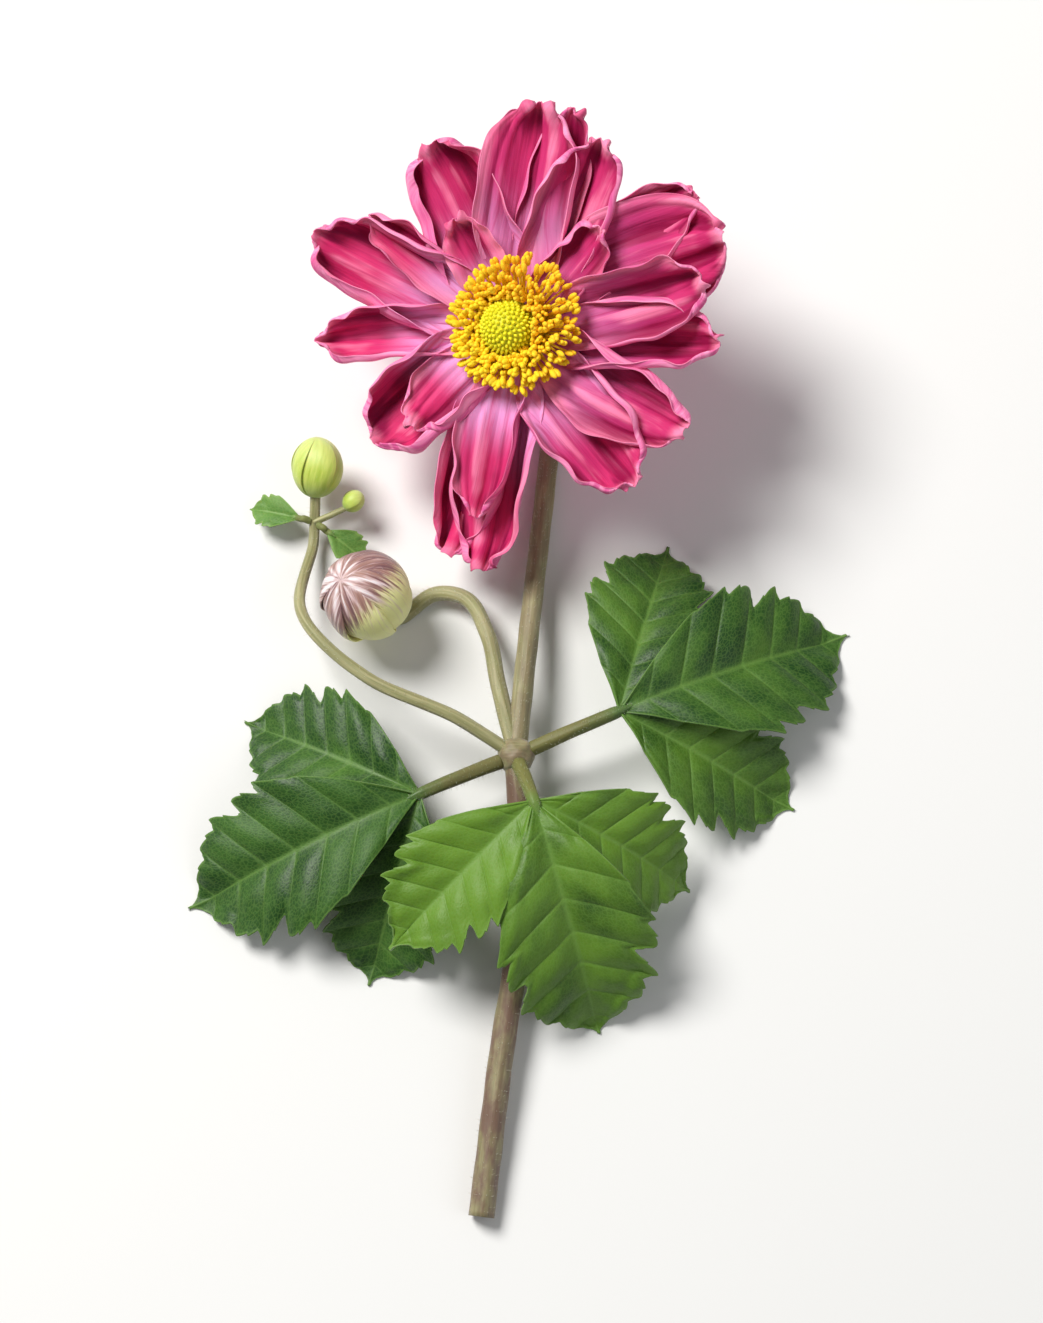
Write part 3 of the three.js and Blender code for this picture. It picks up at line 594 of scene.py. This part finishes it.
def striped_bud_material():
    plum, brown, cream = (0.17, 0.07, 0.075), (0.34, 0.18, 0.14), (0.92, 0.9, 0.38)
    rose, silver, pale_hair = (0.7, 0.5, 0.5), (0.86, 0.82, 0.84), (0.88, 0.86, 0.84)
    s = Shader("striped_bud", Roughness=0.5, Subsurface_Weight=0.08, Subsurface_Scale=0.0008,
               Sheen_Weight=0.25)
    rib, star, sunny, hair = s.values("rib", "star", "sunny", "hair")
    silk = s.noise((0.22, 2.8, 1), 5, 0.65)
    broad = s.noise((0.12, 1.0, 1), 2)
    s.colour = s.mix(s.ramp(broad, 0.35, 0.65), plum, brown)
    s.paint(s.ramp(s.plus(sunny, s.swing(silk, 2.0)), -0.1, 0.4), cream)
    top = s.times(star, 0.25)
    rosy = s.plus(s.plus(s.times(rib, 0.9), s.swing(silk, 2.2)), top)
    s.paint(s.ramp(rosy, 0.1, 0.7, 0.0, 0.85), rose)
    white = s.times(rib, s.ramp(star, 0.999, 0.97, 0.3, 1.0))
    white = s.plus(s.plus(white, s.swing(silk, 2.0)), top)
    s.paint(s.ramp(white, 0.5, 1.1, 0.0, 0.9), silver)
    s.paint(hair, pale_hair)
    s.bump((silk, 0.6, 0.2))
    return s.finish()


def green_bud_material():
    green, lime = (0.38, 0.5, 0.05), (0.56, 0.64, 0.12)
    pale_tip, dark_foot, pale_hair = (0.72, 0.74, 0.3), (0.26, 0.38, 0.06), (0.82, 0.84, 0.66)
    s = Shader("green_bud", Roughness=0.5, Subsurface_Weight=0.12, Subsurface_Scale=0.001,
               Sheen_Weight=0.2)
    foot, star, hair = s.values("foot", "star", "hair")
    silk = s.noise((0.3, 2.2, 1), 4, 0.6)
    s.colour = s.mix(s.ramp(silk, 0.3, 0.7), green, lime)
    s.paint(s.times(star, 0.5), pale_tip)
    s.paint(s.times(foot, 0.6), dark_foot)
    s.paint(hair, pale_hair)
    s.bump((silk, 0.4, 0.15))
    return s.finish()


def floor_material():
    s = Shader("floor", Roughness=0.9)
    s.colour = (0.8, 0.8, 0.79)
    return s.finish()


PETAL = petal_material()
STAMEN = stamen_material()
CARPEL = carpel_material()
STEM = stem_material()
LEAF = leaf_material("leaf", dark=(0.01, 0.046, 0.006), light=(0.036, 0.108, 0.012),
                     young=(0.135, 0.27, 0.02), vein_colour=(0.16, 0.3, 0.06))
BRACT = leaf_material("bract", dark=(0.07, 0.17, 0.03), light=(0.12, 0.26, 0.05),
                      young=(0.2, 0.36, 0.07), vein_colour=(0.25, 0.4, 0.1))
STRIPED = striped_bud_material()
GREEN = green_bud_material()


# Bloom, in a frame of its own with its axis upright

BLOOM_TURN = rotation(unit(np.cross(UP, FACING)), math.acos(FACING[2]))
PETAL_ROWS, PETAL_COLUMNS = 74, 48
PETAL_EDGE, PETAL_BODY = 0.12, 0.36  # thickness at the edge and away from it
PETAL_DISC = [(0, -0.7), (1.5, -0.72), (3.6, -0.66), (4.3, -0.4), (4.6, 0), (4.3, 0.4),
              (3.6, 0.66), (1.5, 0.7), (0, 0.7)]
STAMEN_RING = [(4.2, 1.95), (4.9, 1.68), (5.25, 2.0), (5.2, 2.6), (4.8, RING_TOP), (4.25, 2.95)]
FILAMENT_RADII = (0.2, 0.13)
ANTHER = np.array([0.4, 0.36, 0.78])  # radii of one of its two lobes
CARPEL_COUNT = 250
CARPEL_HEIGHT = 0.38
STYLE = np.array([0.08, 0.08, 0.17])  # radii of the tip of a carpel


def petal_surface(petal, u, v):
    """The middle of a petal's blade, for u from root to tip and v from side to side."""
    steps = 12
    places = (np.arange(steps) + 0.5) / steps
    bow = math.radians(petal["rise"] + petal["tip"]) / 2
    length = (petal["reach"] - PETAL_ROOT) / math.cos(bow)
    end = u * (1 - 0.025 * v**2 * smooth(u, 0.5, 1))

    def slope_at(s):
        turn = petal["rise"] * smooth(s, 0, 0.2) + (petal["tip"] - petal["rise"]) * s
        return np.radians(turn + TIP_CURL * smooth(s, 0.72, 1))

    # The petal's middle line, added up from its slope and its sweep
    s = end[..., None] * places
    slope, bend = slope_at(s), np.radians(petal["sweep"]) * s * 2
    step = length * end / steps
    out = PETAL_ROOT + (np.cos(slope) * np.cos(bend)).sum(-1) * step
    aside = (np.cos(slope) * np.sin(bend)).sum(-1) * step
    height = petal["level"] + np.sin(slope).sum(-1) * step

    # Its section, added up the same way from how it is cupped, rolled, pleated and banked
    opened = smooth(u, 0.05, 0.5)[..., None]
    t = v[..., None] * places
    roll = petal["roll"] * t**3 * (1 - 0.4 * smooth(u, 0.7, 1))[..., None]
    pleat = petal["fold"] * np.sin(math.pi * petal["pleats"] * t + petal["turn"])
    section = (0.15 + 0.85 * opened) * (petal["cup"] * t + roll + pleat)
    section = section + math.radians(petal["bank"]) * opened
    across = np.cos(section).sum(-1) * v / steps
    lift = np.sin(section).sum(-1) * v / steps

    claw = 0.4 + 0.6 * smooth(u, 0, 0.5)
    rounded = np.sqrt(1 - 0.96 * np.clip((u - 0.5) / 0.5, 0, 1) ** petal["blunt"])
    half = petal["width"] / 2 * claw * rounded
    slope, bend = slope_at(end), np.radians(petal["sweep"]) * end * 2
    side = np.stack([-np.sin(bend), np.cos(bend), 0 * bend], -1)
    forward = np.stack([np.cos(slope) * np.cos(bend), np.cos(slope) * np.sin(bend),
                        np.sin(slope)], -1)
    surface = np.stack([out, aside, height], -1)
    surface = surface + side * (half * across)[..., None]
    surface = surface + np.cross(forward, side) * (half * lift)[..., None]
    return surface @ rotation(UP, math.radians(petal["turn"])).T, half, length


def make_petal(index, petal):
    u = np.linspace(0, 1, PETAL_ROWS)
    u = u * (1.45 - 0.45 * u**2)
    u, v = np.meshgrid(u, crowded(PETAL_COLUMNS, 0.86), indexing="ij")
    surface, half, length = petal_surface(petal, u, v)
    spread = 2 * half / petal["width"]
    draw = rng.random((8, 3))

    def wave(number, frequency, place, ahead=0):
        frequency, phase = frequency + draw[number, 0], draw[number, 1]
        return np.sin(2 * math.pi * (frequency * place + phase) + ahead)

    # Fine wrinkles along the petal
    wrinkle = np.zeros_like(u)
    for k, (drift, phase, _) in enumerate(draw[:5]):
        frequency = (1.1 + 0.9 * k) * petal["width"] / 12
        place = frequency * v + (drift - 0.5) * 1.6 * u + phase
        wrinkle += 0.14 / (1 + 0.5 * k) * np.sin(2 * math.pi * place)
    wrinkle = wrinkle * np.sqrt(spread)
    # A fluttering edge, another way on either side, a crimped tip and a raised lip
    edge = 0.5 * wave(5, 1.2, u, np.sign(v) * 2) + 0.24 * wave(6, 3.5, u, np.sign(v))
    flutter = edge * np.abs(v) ** 3 * smooth(u, 0.25, 0.7) * spread
    crimp = 0.4 * wave(7, 1.2, v * spread) * smooth(u, 0.68, 1)
    rim = np.minimum((1 - np.abs(v)) * half, (1 - u) * length)
    lip = 0.45 * (1 - smooth(rim, 0, 1.5)) * smooth(u, 0.15, 0.4)
    shift = wrinkle * smooth(u, 0.08, 0.4) + flutter + crimp + lip
    surface = surface + normals_of(surface) * shift[..., None]
    thickness = PETAL_EDGE + (PETAL_BODY - PETAL_EDGE) * smooth(rim, 0, 1.6)

    # Values for the material: how deep each place lies in the folds (pleat valleys and the trough
    # inside the raised lip deep, raised wrinkles high), which sets painted shade in the hollows and
    # a painted highlight on the ridges, and its tone
    pleat_shade = np.cos(math.pi * petal["pleats"] * v + petal["turn"]) * min(1, petal["fold"] / 0.35)
    lip_trough_shade = smooth(rim, 0.7, 1.6) * (1 - smooth(rim, 2.2, 5)) * smooth(u, 0.25, 0.5)
    fold = pleat_shade + 0.8 * lip_trough_shade - wrinkle * 3
    along = np.stack([u * length, v * half, np.full_like(u, index * 7.3)], -1)
    tone = 0.5 + 0.5 * math.cos(math.radians(petal["turn"] - 10)) + 0.15 * (draw[0, 0] - 0.5)
    shape = Shape()
    sheet(shape, surface, thickness, along=along, rim=rim, base=u, fold=fold, tone=tone)
    shape.face_up()
    shape.piece(f"petal_{index + 1:02d}", "petal", PETAL, "petals")


def make_petal_disc():
    shape = Shape()
    turned(shape, PETAL_DISC, np.zeros(3), UP, fold=0, rim=3, base=0.1, under=0, tone=0.5)
    shape.face_up()
    shape.piece("petal_disc", "petal", PETAL, "petals")


def make_stamen(shape, row, number):
    count, slope, length, foot = STAMEN_ROWS[row]
    aside, raised, longer, leant, tinted, swung, dipped, rolled = rng.random(8)
    turn = (number + 0.5 * (row % 2) + 0.7 * (aside - 0.5)) / count * 2 * math.pi
    out = np.array([math.cos(turn), math.sin(turn), 0])
    around = np.array([-math.sin(turn), math.cos(turn), 0])
    # The ring opens wider and longer towards one side
    leaning = math.cos(turn - math.radians(20))
    tilt = math.radians(slope + 6 * (1 - leaning) + 16 * (raised - 0.5))
    length = length * (0.95 + 0.25 * leaning) * (0.86 + 0.26 * longer)
    lean = unit(out * math.cos(tilt) + UP * math.sin(tilt) + around * 0.25 * (leant - 0.5))
    start = out * foot + UP * (RING_TOP - 0.7)
    knee = start + lean * length * 0.5 + UP * 0.25
    end = start + lean * length
    # Orange share: painted shade towards one side of the ring, at 50 degrees, with real random
    # variation on top
    tint = 0.2 + 0.35 * math.cos(turn - math.radians(50)) + 0.5 * (tinted - 0.5)
    tint = np.clip(tint, 0, 1)
    tube(shape, [start, knee, end], FILAMENT_RADII, sides=6, rings=5, ribs=0, tint=tint,
         filament=0.8)

    # The anther: two lobes side by side
    heading = unit(lean + around * 0.5 * (swung - 0.5) + out * 0.4 * (dipped - 0.5))
    side = unit(np.cross(heading, (0.1, 0.2, 1)))
    side = side * math.cos(rolled * math.pi) + np.cross(heading, side) * math.sin(rolled * math.pi)
    axes = np.stack([side, np.cross(heading, side), heading])
    size = 0.82 + 0.3 * longer
    for lobe in (-1, 1):
        centre = end + side * 0.26 * lobe * size - heading * 0.1
        ball(shape, centre, ANTHER * size, axes, segments=9, rings=7, tint=tint, filament=0)


def make_stamens():
    shape = Shape()
    for row, (count, *_) in enumerate(STAMEN_ROWS):
        for number in range(count):
            make_stamen(shape, row, number)
    ringed(shape, STAMEN_RING, tint=0.4, filament=0.9)
    shape.face_up()
    shape.piece("stamens_fine", "stamen", STAMEN, "stamens")


def make_carpels():
    shape = Shape()
    centre = UP * CARPEL_CENTRE
    radius = CARPEL_RADIUS - 0.3
    round_side = [(radius * math.sin(a), max(CARPEL_FOOT, CARPEL_CENTRE - radius * math.cos(a)))
                  for a in np.linspace(0.35, math.pi - 0.05, 20)]
    dome = [(0, CARPEL_FOOT), *round_side, (0, CARPEL_CENTRE + radius)]
    # The dome under the carpels gets the darkest colour, painted shade in the gaps between them
    turned(shape, dome, np.zeros(3), UP, height=-0.6, dome=0.5)
    golden_turn = math.pi * (3 - math.sqrt(5))
    for i in range(CARPEL_COUNT):
        # On a spiral from the top of the dome to some way under its widest place
        z = 1 - 1.45 * (i + 0.5) / CARPEL_COUNT
        r = math.sqrt(1 - z * z)
        turn = i * golden_turn
        normal = np.array([r * math.cos(turn), r * math.sin(turn), z])
        side = unit(np.cross(normal, (0.3, 0.2, 1.0)))
        axes = np.stack([side, np.cross(normal, side), normal])
        wide = 0.27 + 0.04 * scatter(i, 2)
        size = np.array([wide, wide, CARPEL_HEIGHT])
        # Each carpel's height sets painted shade at its foot, and its place on the dome painted
        # shade on the sides
        ball(shape, centre + normal * (radius + 0.02), size, axes, segments=9, rings=7,
             poles=True, dome=z)
        tip = unit(normal + 0.5 * (rng.random(3) - 0.5))
        side = np.cross(tip, side)
        axes = np.stack([unit(side), unit(np.cross(tip, side)), tip])
        ball(shape, centre + normal * (radius + 0.35), STYLE, axes, segments=6, rings=5,
             poles=True, dome=z)
    shape.face_up()
    shape.piece("carpels_fine", "carpel", CARPEL, "carpel_head")


for index, petal in enumerate(PETALS):
    make_petal(index, petal)
make_petal_disc()
make_stamens()
make_carpels()


# Stem and stalks

STALK_SIDES = 28
# The points of each stalk, its radii at both ends, its rings and hairs, and how red it is
STALKS = [
    (MAIN_STEM, (1.7, 1.5), 90, 700, 0.9),
    (BLOOM_STALK, (1.4, 1.3), 130, 1000, 0.55),
    (STRIPED_STALK, (1.1, 1.0), 70, 500, 0.25),
    (GREEN_STALK, (0.9, 0.7), 90, 500, 0.15),
    (TINY_STALK, (0.45, 0.4), 20, 60, 0.0),
]
STALK_HAIR, STALK_HAIR_WIDTH = 0.55, 0.022
SWELLING = np.array([1, 1, 0.92]) * NODE_RADIUS
RECEPTACLE = [(0, -4.6), (1.3, -4.4), (1.42, -3.4), (1.9, -2.4), (2.7, -1.7), (3.1, -1.3),
              (3.12, -1.05), (0, -1.0)]


def hair_field(shape, surface, out, count, length, **values):
    """Short hairs on a stalk, where they stay clear of what it lies on."""
    rows, sides = surface.shape[:2]
    i = rng.integers(1, rows - 1, count)
    j = rng.integers(0, sides, count)
    roots = surface[i, j]
    onward = unit(surface[i + 1, j] - surface[i - 1, j])
    directions = unit(out[i, j] + 0.5 * (rng.random((count, 3)) - 0.5) + 0.25 * onward)
    keep = roots[:, 2] + np.minimum(directions[:, 2], 0) * length * 1.5 > 0.1
    lengths = length * (0.5 + rng.random(count))
    hairs(shape, roots[keep], directions[keep], lengths[keep], STALK_HAIR_WIDTH,
          along=roots[keep].repeat(4, 0), hair=0.8, **values)


def make_stem():
    shape = Shape()
    for knots, radii, rings, hair_count, flush in STALKS:
        surface, out = tube(shape, knots, radii, STALK_SIDES, rings, flush=flush, hair=0)
        hair_field(shape, surface, out, hair_count, STALK_HAIR, flush=flush)
    # The swelling at the whorl, made uneven
    points = ball(shape, WHORL, SWELLING, np.eye(3), segments=36, rings=22, flush=0.7, hair=0)
    lump = points - WHORL
    lump *= 1 + 0.05 * np.sin(3 * lump[:, :1]) * np.cos(2.5 * lump[:, 1:2])
    shape.points[-1], shape.values["along"][-1] = lump + WHORL, lump
    turned(shape, RECEPTACLE, BLOOM, FACING, flush=0.15, hair=0)
    shape.piece("stem_fine", "stem", STEM, "stem")


make_stem()


# Leaves

LEAF_GRID, BRACT_GRID = (180, 45), (60, 25)
LEAF_EDGE, LEAF_BODY = 0.2, 0.42  # thickness at the edge and away from it
WHOLE_LOBE = 38  # length of the lobe that the sizes of veins and quilting are given for


def rested(z, floor, softness=0.8):
    """A height that is lifted smoothly to floor wherever it would sink below it."""
    lifted = floor + np.clip(z - floor + softness, 0, None) ** 2 / (4 * softness)
    return np.where(z >= floor + softness, z, lifted)


def lobe_surface(root, heading, lobe, teeth, u, v):
    """The middle of a lobe's blade, for u from root to tip and v from side to side."""
    # Teeth that rise slowly and fall off quickly, each of its own depth, with small ones between
    part = (u * teeth) % 1
    number = np.floor(u * teeth - 0.06)
    rising = np.clip((part - 0.1) / 0.8, 0, 1) ** 0.85
    falling = np.where(part > 0.9, 1 - (part - 0.9) / 0.2, 0.5 - part / 0.2)
    profile = np.where((part > 0.1) & (part < 0.9), rising, np.clip(falling, 0, 1))
    depth = 0.1 + 0.08 * scatter(number, lobe["length"] + np.sign(v))
    cut = depth * smooth(u, 0.15, 0.4) * (1 - profile)
    small = 0.05 * (1 - (u * teeth * 2 + 0.1) % 1) * smooth(u, 0.2, 0.5)
    tooth = 1 - (cut + small) * smooth(np.abs(v), 0.4, 1)
    # A wedge-shaped root, widest near the middle, with one deeper notch on either side
    oval = (u**1.15 * (1 - u) ** 1.5) / 0.163
    notch = 1 - 0.18 * np.exp(-(((u - 0.52) / 0.045) ** 2))
    outline = np.maximum(0.02, oval * notch)
    reach = lobe["width"] / 2 * outline * tooth
    half = reach * np.abs(v)

    # The middle line, added up from its slope, with both halves raised beside it
    steps = 14
    places = (np.arange(steps) + 0.5) / steps
    end = u * 0.97 + 0.6 * (1 - smooth(u, 0.85, 1)) * half / lobe["length"]
    slope = lobe["rise"] + (lobe["tip"] - lobe["rise"]) * end[..., None] * places
    slope = np.radians(slope)
    step = lobe["length"] * end / steps
    out = np.cos(slope).sum(-1) * step
    height = lobe["level"] * smooth(u, 0, 0.15) + np.sin(slope).sum(-1) * step
    height = height + half * 0.32 - 0.018 * half**2
    across = half * np.sign(v) * 0.97
    surface = np.stack([out, across, height], -1)
    return surface @ rotation(UP, math.radians(heading + lobe["turn"])).T + root, half, reach


def add_lobe(shape, index, root, heading, lobe, teeth, grid, tone):
    rows, columns = grid
    u, v = np.meshgrid(np.linspace(0, 1, rows), crowded(columns, 0.8), indexing="ij")
    surface, half, reach = lobe_surface(root, heading, lobe, teeth, u, v)
    size = lobe["length"] / WHOLE_LOBE

    # A vein to each tooth and one down the middle, sunken, with the blade quilted between them
    between = np.abs((u * teeth - 0.9 + 0.5) % 1 - 0.5)
    vein_width = 0.26 * size * (1.25 - 0.7 * np.abs(v))
    side_vein = np.exp(-((between * lobe["length"] / teeth / vein_width) ** 2))
    side_vein = side_vein * smooth(u, 0.02, 0.1) * (1 - 0.35 * np.abs(v))
    midrib = np.exp(-((half / (0.42 * size * (1.2 - 0.8 * u))) ** 2))
    vein = np.maximum(midrib, 0.75 * side_vein)
    quilt = (np.sin(math.pi * between) ** 1.2) * smooth(half, 0.5 * size, 3 * size) * 0.38 * size
    draw = rng.random((4, 3))
    wave = sum(0.3 * size / (1 + k) * np.sin(2 * math.pi * ((0.8 + 0.9 * k) * (u + a * v) + b))
               * np.abs(v) for k, (a, b, _) in enumerate(draw))
    shift = quilt - 0.16 * size * vein + wave
    surface = surface + normals_of(surface) * shift[..., None]
    surface[..., 2] = rested(surface[..., 2], 0.2)

    rim = reach - half
    thickness = LEAF_EDGE + (LEAF_BODY - LEAF_EDGE) * smooth(rim, 0, 1.5) + 0.25 * size * midrib
    thickness = thickness * (math.sqrt(size) if size < 0.5 else 1)
    along = np.stack([u * lobe["length"], half * np.sign(v), np.full_like(u, index * 5.1)], -1)
    sheet(shape, surface, thickness, along=along, vein=vein, rim=rim, tone=tone, flush=0, hair=0)


def make_leaf(spec, origin, clear, stalk_radius, teeth, grid, slot, material, tone):
    """A leaf or bract whose stalk starts that far clear of the origin."""
    shape = Shape()
    turn, rise = math.radians(spec["turn"]), math.radians(spec["rise"])
    heading = np.array([
        math.cos(turn) * math.cos(rise), math.sin(turn) * math.cos(rise), math.sin(rise)])
    begin, stalk = origin + heading * clear, heading * spec["stalk"]
    root = begin + stalk
    for index, lobe in enumerate(spec["lobes"]):
        add_lobe(shape, index + len(spec["name"]), root, spec["turn"], lobe, teeth, grid,
                 tone + 0.12 * (index - 1))

    # The stalk runs on into the blade, where it narrows and loses its red flush
    onward = np.array([math.cos(turn), math.sin(turn), 0.04])
    knots = [begin - heading * 0.6, begin + stalk / 2 + UP * 0.4, begin + stalk * 0.96,
             root + onward * 3.2 * stalk_radius]
    sides, rings = 20, 60
    flush = 0.7 * (1 - smooth(np.linspace(0, 1, rings), 0.6, 0.92))
    flush = np.concatenate([np.repeat(flush, sides), [flush[0], 0]])
    surface, out = tube(shape, knots, (stalk_radius, stalk_radius * 0.8), sides, rings, ribs=0.05,
                        taper=0.8, vein=0.5, rim=3, under=0.2, tone=tone, flush=flush, hair=0)
    hair_field(shape, surface, out, int(spec["stalk"] * 20), 0.5 * stalk_radius,
               vein=0, rim=3, under=0.3, tone=tone, flush=0)
    shape.piece(spec["name"] + "_fine", slot, material, spec["name"])


for spec, tone in zip(LEAVES, (0.15, 0.45, 0.85)):
    make_leaf(spec, WHORL, clear=NODE_RADIUS + 0.35, stalk_radius=1.0, teeth=LEAF_TEETH,
              grid=LEAF_GRID, slot="leaf", material=LEAF, tone=tone)
for spec in BRACTS:
    make_leaf(spec, BRACT_NODE, clear=1.25, stalk_radius=0.5, teeth=BRACT_TEETH,
              grid=BRACT_GRID, slot="bract", material=BRACT, tone=0.5)


# Buds

TIP_END, FOOT_END = 0.0006, 0.995  # of the way from a bud's tip to its foot, as its scales run
INNER_EDGE = -0.55  # how far a scale reaches under the one before it
SUN = np.array([0.62, -0.6, 0.0])  # the side of the striped bud that turns cream
FULL_SIDE = 5.0  # where the green bud bulges, as an angle about its axis
BUD_HAIR_WIDTH = 0.018


def rib_strength(b, turn, polar, ribs):
    """Ribs that run out from the tip, each of its own width, strength and length."""
    waist = np.sin(polar)
    place = turn / (2 * math.pi) * ribs
    number = np.floor(place) % ribs
    aside = (place % 1 - 0.5) / ribs * 2 * math.pi * waist * b["radius"]
    aside = aside + 0.12 * waist * b["radius"] * (scatter(number, 5) - 0.5) * polar
    breadth = (0.16 + 0.5 * scatter(number, 3) ** 2) * (0.2 + 0.8 * smooth(waist, 0, 0.45))
    reach = 0.7 + 1.1 * scatter(number, 2)
    strength = (0.35 + 0.65 * scatter(number, 1)) * (1 - smooth(polar, 0.4 * reach, reach))
    return np.exp(-((aside / breadth) ** 2)) * strength


def add_tepal(shape, b, k, tepals, grid, step, ribs, bulge, hair_count, hair_length):
    """One scale of a bud, from its tip round to its foot, with its inner edge under the next."""
    rows, columns = grid
    radius, axis = b["radius"], b["axis"]
    side = unit(np.cross(axis, (0.2, -1, 0.1)))
    up = np.cross(axis, side)
    polar = np.linspace(TIP_END, FOOT_END, rows) * math.pi
    polar, share = np.meshgrid(polar, np.linspace(INNER_EDGE, 1, columns), indexing="ij")
    turn = 2 * math.pi * (k + share) / tepals + 0.25 * np.cos(polar)
    waist = np.sin(polar)
    rib = rib_strength(b, turn, polar, ribs)
    wave = 0.04 * radius * np.sin(5 * share + k) * waist
    full = bulge * np.exp(-((turn % (2 * math.pi) - FULL_SIDE) / 0.7) ** 2) * waist
    out = radius - step + step * np.clip(share, -0.5, 1) * waist + 0.4 * wave + 0.12 * rib * waist
    out = out * (1 + full) * waist
    height = np.cos(polar) * (b["length"] / 2 - 0.35 * step * (1 - share) * waist)
    surface = ((out * np.cos(turn))[..., None] * side + (out * np.sin(turn))[..., None] * up
               + height[..., None] * axis + b["centre"])
    edge = np.minimum(1 - share, 1) * waist * radius * 2 * math.pi / tepals
    thickness = 0.05 * radius * (0.5 + 0.5 * smooth(edge, 0, 1))

    outward = unit(surface - b["centre"])
    along = np.stack([polar * radius, (share - 0.4) * waist * radius * 1.2,
                      np.full_like(share, k * 3.7)], -1)
    sheet(shape, surface, thickness, along=along, rib=rib, hair=0,
          star=np.clip(np.cos(polar), 0, 1), foot=smooth(-np.cos(polar), 0.25, 0.95),
          sunny=outward @ SUN - 0.45 * np.cos(polar))

    # Silky hairs, laid towards the tip
    i = rng.integers(3, rows - 3, hair_count)
    j = rng.integers(columns * 2 // 5, columns - 1, hair_count)
    roots = surface[i, j]
    to_tip = unit(surface[i - 2, j] - roots)
    lift = 0.15 + 0.25 * rng.random((hair_count, 1))
    directions = to_tip + outward[i, j] * lift + 0.2 * (rng.random((hair_count, 3)) - 0.5)
    lengths = hair_length * (0.5 + rng.random(hair_count))
    hairs(shape, roots, unit(directions), lengths, BUD_HAIR_WIDTH,
          along=along[i, j].repeat(4, 0), rib=0, star=0, foot=0, sunny=0, hair=0.75, under=0)


def make_bud(node, b, slot, material, tepals, **looks):
    shape = Shape()
    for k in range(tepals):
        add_tepal(shape, b, k, tepals, **looks)
    shape.piece(node + "_fine", slot, material, node)


make_bud("bud_striped", STRIPED_BUD, "bud_striped", STRIPED, tepals=6, grid=(64, 56), step=0.6,
         ribs=13, bulge=0, hair_count=83, hair_length=0.7)
make_bud("bud_green", GREEN_BUD, "bud_green", GREEN, tepals=5, grid=(48, 32), step=0.35,
         ribs=9, bulge=0.16, hair_count=60, hair_length=0.5)
make_bud("bud_tiny", TINY_BUD, "bud_green", GREEN, tepals=3, grid=(26, 22), step=0.15,
         ribs=7, bulge=0, hair_count=20, hair_length=0.3)


# Floor and light

FLOOR_HALF = 3.0  # metres from the middle to each side
# Each lamp's name, place and width in metres, power in watts, and colour
LAMPS = [
    ("key", (-0.42, 0.34, 0.68), 0.4, 9.6, (1.0, 0.985, 0.96)),
    ("fill", (0.6, -0.3, 0.6), 0.8, 1.5, (0.94, 0.97, 1.0)),
]
WORLD_STRENGTH = 0.22


def make_floor():
    mesh = bpy.data.meshes.new("floor")
    corners = [(x * FLOOR_HALF, y * FLOOR_HALF, 0) for x, y in ((-1, -1), (1, -1), (1, 1), (-1, 1))]
    mesh.from_pydata(corners, [], [(0, 1, 2, 3)])
    mesh.materials.append(floor_material())
    floor = bpy.data.objects.new("floor", mesh)
    bpy.context.scene.collection.objects.link(floor)


def make_lamp(name, place, width, power, colour):
    data = bpy.data.lights.new(name, "AREA")
    data.shape = "DISK"
    data.size = width
    data.energy = power
    data.color = colour
    lamp = bpy.data.objects.new(name, data)
    lamp.location = place
    lamp.rotation_euler = (-Vector(place)).to_track_quat("-Z", "Y").to_euler()
    bpy.context.scene.collection.objects.link(lamp)


def make_world():
    world = bpy.data.worlds.new("world")
    world.use_nodes = True
    background = world.node_tree.nodes["Background"]
    background.inputs["Color"].default_value = (1, 1, 1, 1)
    background.inputs["Strength"].default_value = WORLD_STRENGTH
    bpy.context.scene.world = world


make_floor()
for lamp in LAMPS:
    make_lamp(*lamp)
make_world()
bpy.context.scene.view_settings.view_transform = "Standard"
